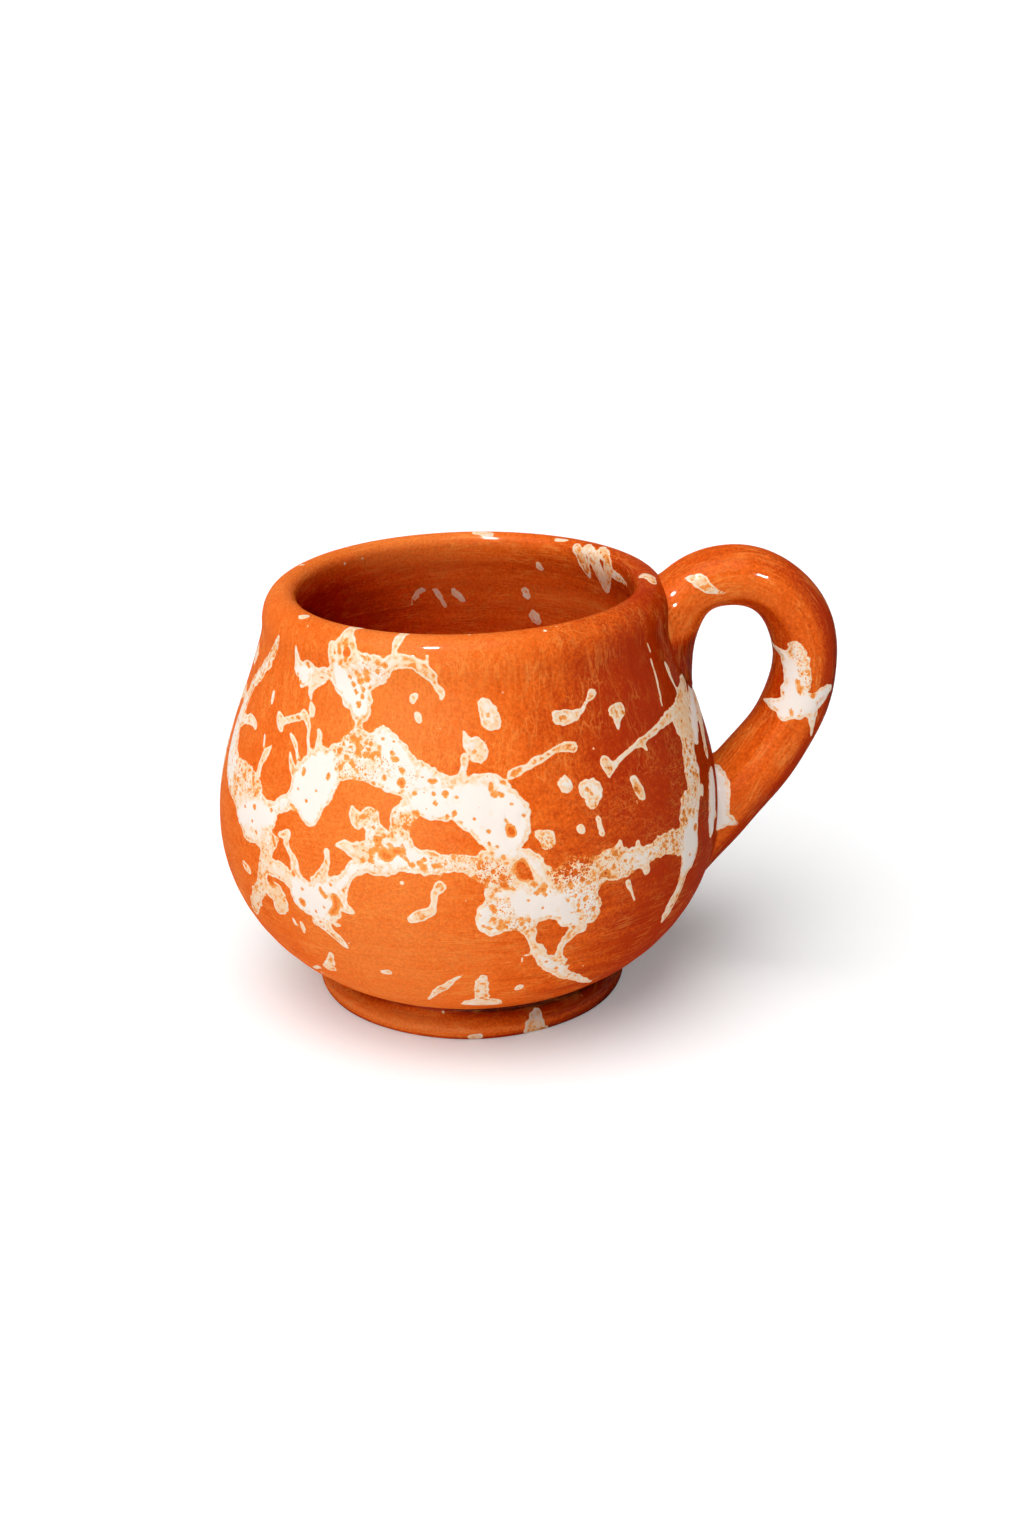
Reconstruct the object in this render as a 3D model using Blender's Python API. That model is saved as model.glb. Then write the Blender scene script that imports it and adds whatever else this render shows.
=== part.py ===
"""Espresso cup in glazed red earthenware, at its real size, in metres, +Z up.

A thrown bowl with a rolled lip stands on a flared foot ring. A pulled coil handle is pressed on below
the lip and on the belly. Each seam holds a thin bed of luting slip, as a potter joins leather-hard clay.
The origin is on the table, under the middle of the whole footprint, and +X points at the handle.
"""

import math

import bmesh
import bpy
from mathutils import Matrix, Vector
from mathutils.geometry import interpolate_bezier

# Driving dimensions of the bowl. Heights are above the table.
CUP_HEIGHT = 0.0650
BELLY_DIAMETER = 0.0774
BELLY_HEIGHT = 0.0285
BELLY_BASE_SLOPE = math.radians(28)
LIP_DIAMETER = 0.0612
LIP_THICKNESS = 0.0053
LIP_DEPTH = 0.0048
LIP_INSIDE_ROUND = 0.0018
NECK_DROP = 0.0095
NECK_FLARE = 0.0010
NECK_SLOPE = math.radians(73)
WALL_THICKNESS = 0.0042
FLOOR_THICKNESS = 0.0045

# Driving dimensions of the foot ring. The groove is how far the bowl's base edge stands over its waist.
FOOT_DIAMETER = 0.0488
FOOT_HEIGHT = 0.0042
FOOT_FLARE = 0.0024
FOOT_GROOVE = 0.0025
FOOT_WALL = 0.0040
FOOT_EDGE = 0.0007

# Driving dimensions of the handle. Its section is an oval: thickness is in the plane of the loop.
HANDLE_OVERHANG = 0.0182
HANDLE_RISE = 0.0042
HANDLE_ROOT_DROP = 0.0185
HANDLE_ROOT_SINK = 0.0021
HANDLE_ROOT_SLOPE = math.radians(88)
HANDLE_CROWN_REACH = 0.0098
HANDLE_BEND_DROP = 0.0135
HANDLE_HEEL_DROP = 0.0030
HANDLE_HEEL_SINK = 0.0013
HANDLE_HEEL_SLOPE = math.radians(50)
HANDLE_TAIL_LENGTH = 0.0110
HANDLE_WIDTH = 0.0104
HANDLE_ROOT_THICKNESS = 0.0096
HANDLE_ROOT_WIDTH = 0.0130
HANDLE_CROWN_THICKNESS = 0.0092
HANDLE_BEND_THICKNESS = 0.0101
HANDLE_HEEL_THICKNESS = 0.0116
HANDLE_HEEL_WIDTH = 0.0122

# How the pieces meet: a bed of slip with a hairline on each side of it.
LUTING_THICKNESS = 0.0006
LUTING_INSET = 0.0005
JOINT_GAP = 0.0003

# Finishes: colour, then roughness.
GLAZED_CLAY = (0.60, 0.14, 0.025), 0.18
LUTING_SLIP = (0.52, 0.20, 0.08), 0.75

# Facets.
TURN_STEPS = 64
CURVE_STEPS = 9
COIL_SIDES = 20
SHARP_ANGLE = math.radians(40)
MERGE_DISTANCE = 1e-5

# Places that follow from the driving dimensions.
SEAM = LUTING_THICKNESS + 2 * JOINT_GAP
FOOT_RADIUS = FOOT_DIAMETER / 2
WAIST_RADIUS = FOOT_RADIUS - FOOT_FLARE
RECESS_RADIUS = WAIST_RADIUS - FOOT_WALL
BASE_RADIUS = WAIST_RADIUS + FOOT_GROOVE
BASE_HEIGHT = FOOT_HEIGHT + SEAM
FLOOR_HEIGHT = BASE_HEIGHT + FLOOR_THICKNESS
BELLY_RADIUS = BELLY_DIAMETER / 2
LIP_RADIUS = LIP_DIAMETER / 2
MOUTH_RADIUS = LIP_RADIUS - LIP_THICKNESS
NECK_RADIUS = LIP_RADIUS + NECK_FLARE
NECK_HEIGHT = CUP_HEIGHT - NECK_DROP
AXIS_X = -HANDLE_OVERHANG / 2

# Directions in the plane of a profile, and how far a curve's arms reach as a share of its chord.
UP, DOWN = Vector((0, 0, 1)), Vector((0, 0, -1))
OUT, IN = Vector((1, 0, 0)), Vector((-1, 0, 0))
ARC_TENSION = 4 / 3 * (math.sqrt(2) - 1) / math.sqrt(2)
EASY_TENSION = 0.36
FULL_TENSION = 0.45


def clear_scene():
    for obj in list(bpy.data.objects):
        bpy.data.objects.remove(obj)


def fired_clay(name, color, roughness):
    """A Principled BSDF of one colour."""
    material = bpy.data.materials.new(name)
    material.use_nodes = True
    shader = material.node_tree.nodes["Principled BSDF"]
    shader.inputs["Base Color"].default_value = (*color, 1)
    shader.inputs["Roughness"].default_value = roughness
    shader.inputs["Metallic"].default_value = 0
    material.diffuse_color = (*color, 1)
    return material


def place(obj, cup):
    """Links an object, stands it on the cup's axis and shades it smooth apart from its sharp edges."""
    bpy.context.scene.collection.objects.link(obj)
    obj.parent = cup
    obj.data.shade_smooth()
    obj.data.set_sharp_from_angle(angle=SHARP_ANGLE)
    return obj


def hide(obj):
    """Marks a cutter, which is no piece of the cup."""
    obj.hide_render = True
    obj.display_type = "WIRE"
    return obj


def on_profile(radius, height):
    return Vector((radius, 0, height))


def rising(slope):
    """The direction that climbs outwards at a slope above the level."""
    return Vector((math.cos(slope), 0, math.sin(slope)))


def smooth_curve(knots):
    """Points along Bezier arcs through knots of (place, direction, tension to the next knot)."""
    points = []
    for (start, heading, tension), (end, arrival, _) in zip(knots, knots[1:]):
        reach = (end - start).length * tension
        arc = interpolate_bezier(
            start, start + heading * reach, end - arrival * reach, end, CURVE_STEPS
        )
        points += arc[:-1]
    return points + [knots[-1][0]]


def turned(name, profile, closed):
    """A solid of revolution about Z. The profile runs down its outer side."""
    mesh = bpy.data.meshes.new(name)
    count = len(profile)
    edges = [(i, i + 1) for i in range(count - 1)]
    if closed:
        edges.append((count - 1, 0))
    mesh.from_pydata(profile, edges, [])
    obj = bpy.data.objects.new(name, mesh)
    screw = obj.modifiers.new("turn", "SCREW")
    screw.axis = "Z"
    screw.angle = math.tau
    screw.steps = screw.render_steps = TURN_STEPS
    screw.use_merge_vertices = True
    screw.merge_threshold = MERGE_DISTANCE
    screw.use_smooth_shade = True
    return obj


def bowl_outside():
    """The bowl's outer profile from the base up to the crest of the lip."""
    neck_up = rising(math.pi - NECK_SLOPE)
    return smooth_curve(
        [
            (on_profile(BASE_RADIUS, BASE_HEIGHT), rising(BELLY_BASE_SLOPE), EASY_TENSION),
            (on_profile(BELLY_RADIUS, BELLY_HEIGHT), UP, EASY_TENSION),
            (on_profile(NECK_RADIUS, NECK_HEIGHT), neck_up, EASY_TENSION),
            (on_profile(LIP_RADIUS, CUP_HEIGHT - LIP_DEPTH), UP, ARC_TENSION),
            (on_profile(MOUTH_RADIUS + LIP_INSIDE_ROUND, CUP_HEIGHT), IN, ARC_TENSION),
        ]
    )


def bowl_inside():
    """The bowl's inner profile from the crest of the lip down to the middle of the floor."""
    neck_down = rising(-NECK_SLOPE)
    return smooth_curve(
        [
            (on_profile(MOUTH_RADIUS + LIP_INSIDE_ROUND, CUP_HEIGHT), IN, ARC_TENSION),
            (on_profile(MOUTH_RADIUS, CUP_HEIGHT - LIP_INSIDE_ROUND), DOWN, EASY_TENSION),
            (on_profile(NECK_RADIUS - WALL_THICKNESS, NECK_HEIGHT), neck_down, EASY_TENSION),
            (on_profile(BELLY_RADIUS - WALL_THICKNESS, BELLY_HEIGHT), DOWN, ARC_TENSION),
            (on_profile(0, FLOOR_HEIGHT), IN, ARC_TENSION),
        ]
    )


def bowl(cup, clay):
    """The thrown bowl: its inner profile, its outer profile and a flat base, turned as one wall."""
    inside, outside = bowl_inside(), bowl_outside()
    profile = inside[::-1] + outside[-2::-1] + [on_profile(0, BASE_HEIGHT)]
    obj = turned("cup_body", profile, closed=False)
    obj.data.materials.append(clay)
    place(obj, cup)


def bowl_envelope(name, clearance, cup):
    """A cutter: the bowl's outer form without its hollow, grown outwards by a clearance."""
    outside = bowl_outside()
    grown = []
    for i, point in enumerate(outside):
        along = outside[min(i + 1, len(outside) - 1)] - outside[max(i - 1, 0)]
        normal = Vector((along.z, 0, -along.x)).normalized()
        grown.append(point + normal * clearance)
    crown = on_profile(0, grown[-1].z)
    base = on_profile(0, grown[0].z)
    obj = turned(name, [crown] + grown[::-1] + [base], closed=False)
    return hide(place(obj, cup))


def foot_ring(cup, clay):
    """The foot: a ring, narrow where the bowl sits on it, flared to the table and hollow below the bowl."""
    outside = smooth_curve(
        [
            (on_profile(WAIST_RADIUS, FOOT_HEIGHT), DOWN, EASY_TENSION),
            (on_profile(FOOT_RADIUS, 2 * FOOT_EDGE), DOWN, ARC_TENSION),
            (on_profile(FOOT_RADIUS - FOOT_EDGE, 0), IN, ARC_TENSION),
        ]
    )
    inside = smooth_curve(
        [
            (on_profile(RECESS_RADIUS + FOOT_EDGE, 0), IN, ARC_TENSION),
            (on_profile(RECESS_RADIUS, FOOT_EDGE), UP, ARC_TENSION),
        ]
    )
    profile = outside + inside + [on_profile(RECESS_RADIUS, FOOT_HEIGHT)]
    obj = turned("foot_ring", profile, closed=True)
    obj.data.materials.append(clay)
    place(obj, cup)


def foot_luting(cup, slip):
    """The bed of slip between the foot ring's top and the bowl's base."""
    outer = WAIST_RADIUS - LUTING_INSET
    inner = RECESS_RADIUS + LUTING_INSET
    low = FOOT_HEIGHT + JOINT_GAP
    high = low + LUTING_THICKNESS
    corners = [(outer, high), (outer, low), (inner, low), (inner, high)]
    obj = turned("foot_luting", [on_profile(*corner) for corner in corners], closed=True)
    obj.data.materials.append(slip)
    place(obj, cup)


def coil_stations():
    """Stations along the handle's centreline, from inside the neck, over the crown, to inside the belly.

    Each is (place, heading, half thickness in the loop's plane, half width across it). The knots give
    the coil's place and section, and the section eases from one knot to the next.
    """
    reach = BELLY_RADIUS + HANDLE_OVERHANG
    crown_height = CUP_HEIGHT + HANDLE_RISE - HANDLE_CROWN_THICKNESS / 2
    heel_down = -rising(HANDLE_HEEL_SLOPE)
    root = on_profile(NECK_RADIUS - HANDLE_ROOT_SINK, CUP_HEIGHT - HANDLE_ROOT_DROP)
    crown = on_profile(LIP_RADIUS + HANDLE_CROWN_REACH, crown_height)
    bend = on_profile(reach - HANDLE_BEND_THICKNESS / 2, CUP_HEIGHT - HANDLE_BEND_DROP)
    heel = on_profile(BELLY_RADIUS - HANDLE_HEEL_SINK, BELLY_HEIGHT - HANDLE_HEEL_DROP)
    tail = heel + heel_down * HANDLE_TAIL_LENGTH
    path = smooth_curve(
        [
            (root, rising(HANDLE_ROOT_SLOPE), FULL_TENSION),
            (crown, OUT, ARC_TENSION),
            (bend, DOWN, EASY_TENSION),
            (heel, heel_down, EASY_TENSION),
            (tail, heel_down, EASY_TENSION),
        ]
    )
    sections = [
        (HANDLE_ROOT_THICKNESS, HANDLE_ROOT_WIDTH),
        (HANDLE_CROWN_THICKNESS, HANDLE_WIDTH),
        (HANDLE_BEND_THICKNESS, HANDLE_WIDTH),
        (HANDLE_HEEL_THICKNESS, HANDLE_HEEL_WIDTH),
        (HANDLE_HEEL_THICKNESS, HANDLE_HEEL_WIDTH),
    ]
    stations = []
    for i, point in enumerate(path):
        heading = (path[min(i + 1, len(path) - 1)] - path[max(i - 1, 0)]).normalized()
        arc = min(i // (CURVE_STEPS - 1), len(sections) - 2)
        share = i / (CURVE_STEPS - 1) - arc
        ease = share * share * (3 - 2 * share)
        thickness, width = (
            start + (end - start) * ease for start, end in zip(sections[arc], sections[arc + 1])
        )
        stations.append((point, heading, thickness / 2, width / 2))
    return stations


def coil(name, stations, inset):
    """A capped tube through the stations, its oval section drawn in by an inset."""
    shape = bmesh.new()
    loops = []
    across = Vector((0, 1, 0))
    for point, heading, half_thickness, half_width in stations:
        frame = Matrix((across.cross(heading), across, heading)).transposed().to_4x4()
        frame.translation = point
        oval = Matrix.Diagonal((half_thickness - inset, half_width - inset, 1, 1))
        ring = bmesh.ops.create_circle(shape, segments=COIL_SIDES, radius=1, matrix=frame @ oval)
        loops.append(ring["verts"])
    for start, end in zip(loops, loops[1:]):
        for i in range(COIL_SIDES):
            j = (i + 1) % COIL_SIDES
            shape.faces.new((start[i], start[j], end[j], end[i]))
    shape.faces.new(loops[0][::-1])
    shape.faces.new(loops[-1])
    bmesh.ops.recalc_face_normals(shape, faces=shape.faces)
    mesh = bpy.data.meshes.new(name)
    shape.to_mesh(mesh)
    shape.free()
    return bpy.data.objects.new(name, mesh)


def trim(obj, operation, cutter):
    boolean = obj.modifiers.new(cutter.name, "BOOLEAN")
    boolean.operation = operation
    boolean.object = cutter
    boolean.solver = "EXACT"


def handle_and_lutings(cup, clay, slip):
    """The coil handle, saddle-cut to the bowl at both ends, and the bed of slip behind each end."""
    stations = coil_stations()
    arcs_to_bend = 2
    bend = arcs_to_bend * (CURVE_STEPS - 1)
    handle_seat = bowl_envelope("handle_seat_cutter", SEAM, cup)
    slip_outside = bowl_envelope("slip_outside_cutter", SEAM - JOINT_GAP, cup)
    slip_inside = bowl_envelope("slip_inside_cutter", JOINT_GAP, cup)
    handle = place(coil("handle", stations, 0), cup)
    handle.data.materials.append(clay)
    trim(handle, "DIFFERENCE", handle_seat)
    ends = {"handle_root_luting": stations[:bend], "handle_heel_luting": stations[bend:]}
    for name, end in ends.items():
        bed = place(coil(name, end, LUTING_INSET), cup)
        bed.data.materials.append(slip)
        trim(bed, "INTERSECT", slip_outside)
        trim(bed, "DIFFERENCE", slip_inside)


def main():
    clear_scene()
    cup = bpy.data.objects.new("cup", None)
    cup.location.x = AXIS_X
    bpy.context.scene.collection.objects.link(cup)
    clay = fired_clay("glazed_red_clay", *GLAZED_CLAY)
    slip = fired_clay("luting_slip", *LUTING_SLIP)
    bowl(cup, clay)
    foot_ring(cup, clay)
    foot_luting(cup, slip)
    handle_and_lutings(cup, clay, slip)


main()
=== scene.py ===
import math

import bpy
import numpy as np
from mathutils import Matrix, Vector


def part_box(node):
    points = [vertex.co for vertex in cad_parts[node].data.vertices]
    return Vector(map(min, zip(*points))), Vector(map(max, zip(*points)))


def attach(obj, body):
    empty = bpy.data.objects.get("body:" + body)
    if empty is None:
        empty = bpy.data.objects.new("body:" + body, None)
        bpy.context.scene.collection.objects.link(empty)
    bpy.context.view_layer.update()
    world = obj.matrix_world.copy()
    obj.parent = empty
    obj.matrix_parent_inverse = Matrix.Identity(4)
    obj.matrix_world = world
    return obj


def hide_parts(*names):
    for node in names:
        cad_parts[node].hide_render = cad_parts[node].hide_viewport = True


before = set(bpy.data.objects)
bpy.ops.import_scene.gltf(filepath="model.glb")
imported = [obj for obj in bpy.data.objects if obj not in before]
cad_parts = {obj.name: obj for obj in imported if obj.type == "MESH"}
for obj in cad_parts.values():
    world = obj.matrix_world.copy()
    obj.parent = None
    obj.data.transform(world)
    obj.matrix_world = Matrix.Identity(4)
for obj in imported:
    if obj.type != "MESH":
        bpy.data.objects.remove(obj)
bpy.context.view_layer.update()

# The viewing place. The eye is a forearm's length from the cup and looks down into its mouth, with the
# handle at the right. Lengths in this file are in millimetres, and heights are above the table.
MM = 0.001
EYE_BACK, EYE_HEIGHT = 300.3, 153.1
LOOK_DOWN, LOOK_RIGHT, HEAD_TILT = math.radians(21.56), math.radians(1.29), math.radians(-0.60)
HANDLE_TURN = math.radians(1.5)
PHOTO_WIDTH, PHOTO_HEIGHT, FOCAL_PIXELS = 1024, 1536, 2075
SENSOR, NEAREST_SEEN = 36.0, 10.0

body_low, body_high = (np.array(corner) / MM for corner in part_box("cup_body"))
axis_x = (body_low[0] + body_high[0]) / 2

eye = Matrix.Rotation(-HANDLE_TURN, 3, "Z") @ Vector((0, -EYE_BACK, EYE_HEIGHT)) + Vector((axis_x, 0, 0))
gaze = (
    Matrix.Rotation(-HANDLE_TURN - LOOK_RIGHT, 3, "Z")
    @ Matrix.Rotation(math.pi / 2 - LOOK_DOWN, 3, "X")
    @ Matrix.Rotation(HEAD_TILT, 3, "Z")
)
camera = bpy.data.objects.new("camera", bpy.data.cameras.new("camera"))
camera.data.sensor_width = SENSOR
camera.data.lens = FOCAL_PIXELS / PHOTO_HEIGHT * SENSOR
camera.data.clip_start = NEAREST_SEEN * MM
camera.matrix_world = Matrix.Translation(eye * MM) @ gaze.to_4x4()
bpy.context.scene.collection.objects.link(camera)
bpy.context.scene.camera = camera
bpy.context.scene.view_settings.view_transform = "Standard"


# The bowl is thrown on a wheel from red clay: a round belly, a drawn-in neck and a rolled lip, all a little
# out of true. White slip is flung over the leather-hard clay, and a clear glaze covers both.
BELLY_HEIGHT = 28.5
BASE_RADIUS, BASE_SLOPE = 24.5, 28
NECK_RADIUS, NECK_HEIGHT, NECK_SLOPE = 31.6, 55.5, 73
LIP_RADIUS, LIP_HEIGHT, CREST_RADIUS = 30.6, 60.2, 27.1
MOUTH_RADIUS, MOUTH_HEIGHT = 25.3, 63.2
WALL, FLOOR_TOP = 4.2, 9.9
OUT, UP, IN, DOWN = 0, 90, 180, 270
ROUND_ARM, EASY_ARM = 4 / 3 * (math.sqrt(2) - 1) / math.sqrt(2), 0.36

base_height = body_low[2]
cup_height = body_high[2]
belly_radius = (body_high[1] - body_low[1]) / 2
inner_belly, inner_neck = belly_radius - WALL, NECK_RADIUS - WALL


def heading(degrees):
    """The unit step at an angle, in degrees, that turns from outward to up."""
    return np.array([math.cos(math.radians(degrees)), math.sin(math.radians(degrees))])


def outline(start, leave, *legs):
    """Points of cubic curves laid end to end. Each leg gives its end, its heading there, its arms as a share
    of its chord, its count of points and, after a corner, the heading that it leaves by."""
    start = np.array(start, float)
    points = []
    for end, arrive, arm, count, *corner in legs:
        end = np.array(end, float)
        leave = corner[0] if corner else leave
        reach = arm * math.dist(start, end)
        first, last = start + reach * heading(leave), end - reach * heading(arrive)
        t = np.linspace(0, 1, count, endpoint=False)[:, None]
        points.append(
            (1 - t) ** 3 * start + 3 * (1 - t) ** 2 * t * first + 3 * (1 - t) * t**2 * last + t**3 * end
        )
        start, leave = end, arrive
    return np.concatenate(points)


inside = outline(
    (0, FLOOR_TOP), OUT,
    ((inner_belly, BELLY_HEIGHT), UP, ROUND_ARM, 21),
    ((inner_neck, NECK_HEIGHT), IN - NECK_SLOPE, EASY_ARM, 24),
    ((MOUTH_RADIUS, MOUTH_HEIGHT), UP, EASY_ARM, 7),
    ((CREST_RADIUS, cup_height), OUT, ROUND_ARM, 5),
)[1:]
outside = outline(
    (CREST_RADIUS, cup_height), OUT,
    ((LIP_RADIUS, LIP_HEIGHT), DOWN, ROUND_ARM, 12),
    ((NECK_RADIUS, NECK_HEIGHT), OUT - NECK_SLOPE, EASY_ARM, 9),
    ((belly_radius, BELLY_HEIGHT), DOWN, EASY_ARM, 62),
    ((BASE_RADIUS, base_height), IN + BASE_SLOPE, EASY_ARM, 58),
    ((0, base_height), IN, EASY_ARM, 3, IN),
)
profile = np.concatenate([inside, outside])
is_outside = (np.arange(len(profile)) >= len(inside))[:, None]

# The wheel's marks: the rim leans and is a little oval and three-sided, and ridges wind round the inside
# and the low belly. The columns of the grid crowd together on the side towards the eye.
BOWL_COLUMNS, CROWDING = 490, 0.42
RIM_TILT = math.tan(math.radians(0.7))
OVAL, OVAL_PHASE, THREE_SIDED, THREE_PHASE = 0.13, 0.6, 0.091, 2.0
INSIDE_RIDGE, INSIDE_PITCH, FLOOR_RIDGED = 0.09, 3.8, (6, 16)
OUTSIDE_RIDGE, OUTSIDE_PITCH, BELLY_RIDGED = 0.025, 2.6, (25.6, 9.6)
LIP_SMOOTH = 3


def ramp(values, low, high):
    """Shares that go evenly from 0 at the low value to 1 at the high one, and stay there."""
    return np.clip((values - low) / (high - low), 0, 1)


def turned(radius, turns, heights):
    """Rings of a turned form: each point is a radius and a turn about the cup's axis, and a height."""
    across, deep = axis_x + radius * np.cos(turns), radius * np.sin(turns)
    return np.stack(np.broadcast_arrays(across, deep, heights), axis=2)


def ring_normals(rings):
    """Outward directions on a grid: the step along the profile crossed with the step around it."""
    along = np.gradient(rings, axis=0)
    around = np.roll(rings, -1, axis=1) - np.roll(rings, 1, axis=1)
    across = np.cross(along, around)
    return across / np.linalg.norm(across, axis=2, keepdims=True)


even_turns = np.arange(BOWL_COLUMNS) / BOWL_COLUMNS * 2 * math.pi
turns = even_turns - CROWDING * np.sin(even_turns + math.pi / 2 + HANDLE_TURN)
lean = ramp(profile[:, 1:], 0, cup_height) ** 2
wobble = lean * (OVAL * np.sin(2 * turns + OVAL_PHASE) + THREE_SIDED * np.sin(3 * turns + THREE_PHASE))
radius = profile[:, :1] + wobble * ramp(profile[:, :1], 0, MOUTH_RADIUS)
bowl_rings = turned(radius, turns, profile[:, 1:] + RIM_TILT * lean * radius * np.cos(turns))
bowl_normals = ring_normals(bowl_rings)
heights = bowl_rings[:, :, 2]
inside_ridges = INSIDE_RIDGE * np.sin(2 * math.pi * heights / INSIDE_PITCH + turns)
outside_ridges = OUTSIDE_RIDGE * np.sin(2 * math.pi * heights / OUTSIDE_PITCH + turns)
ridges = np.where(is_outside, outside_ridges * ramp(heights, *BELLY_RIDGED), inside_ridges)
ridges *= ramp(profile[:, :1], *FLOOR_RIDGED) * (np.abs(profile[:, 1:] - cup_height) > LIP_SMOOTH)
bowl_rings = bowl_rings + bowl_normals * ridges[:, :, None]

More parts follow.
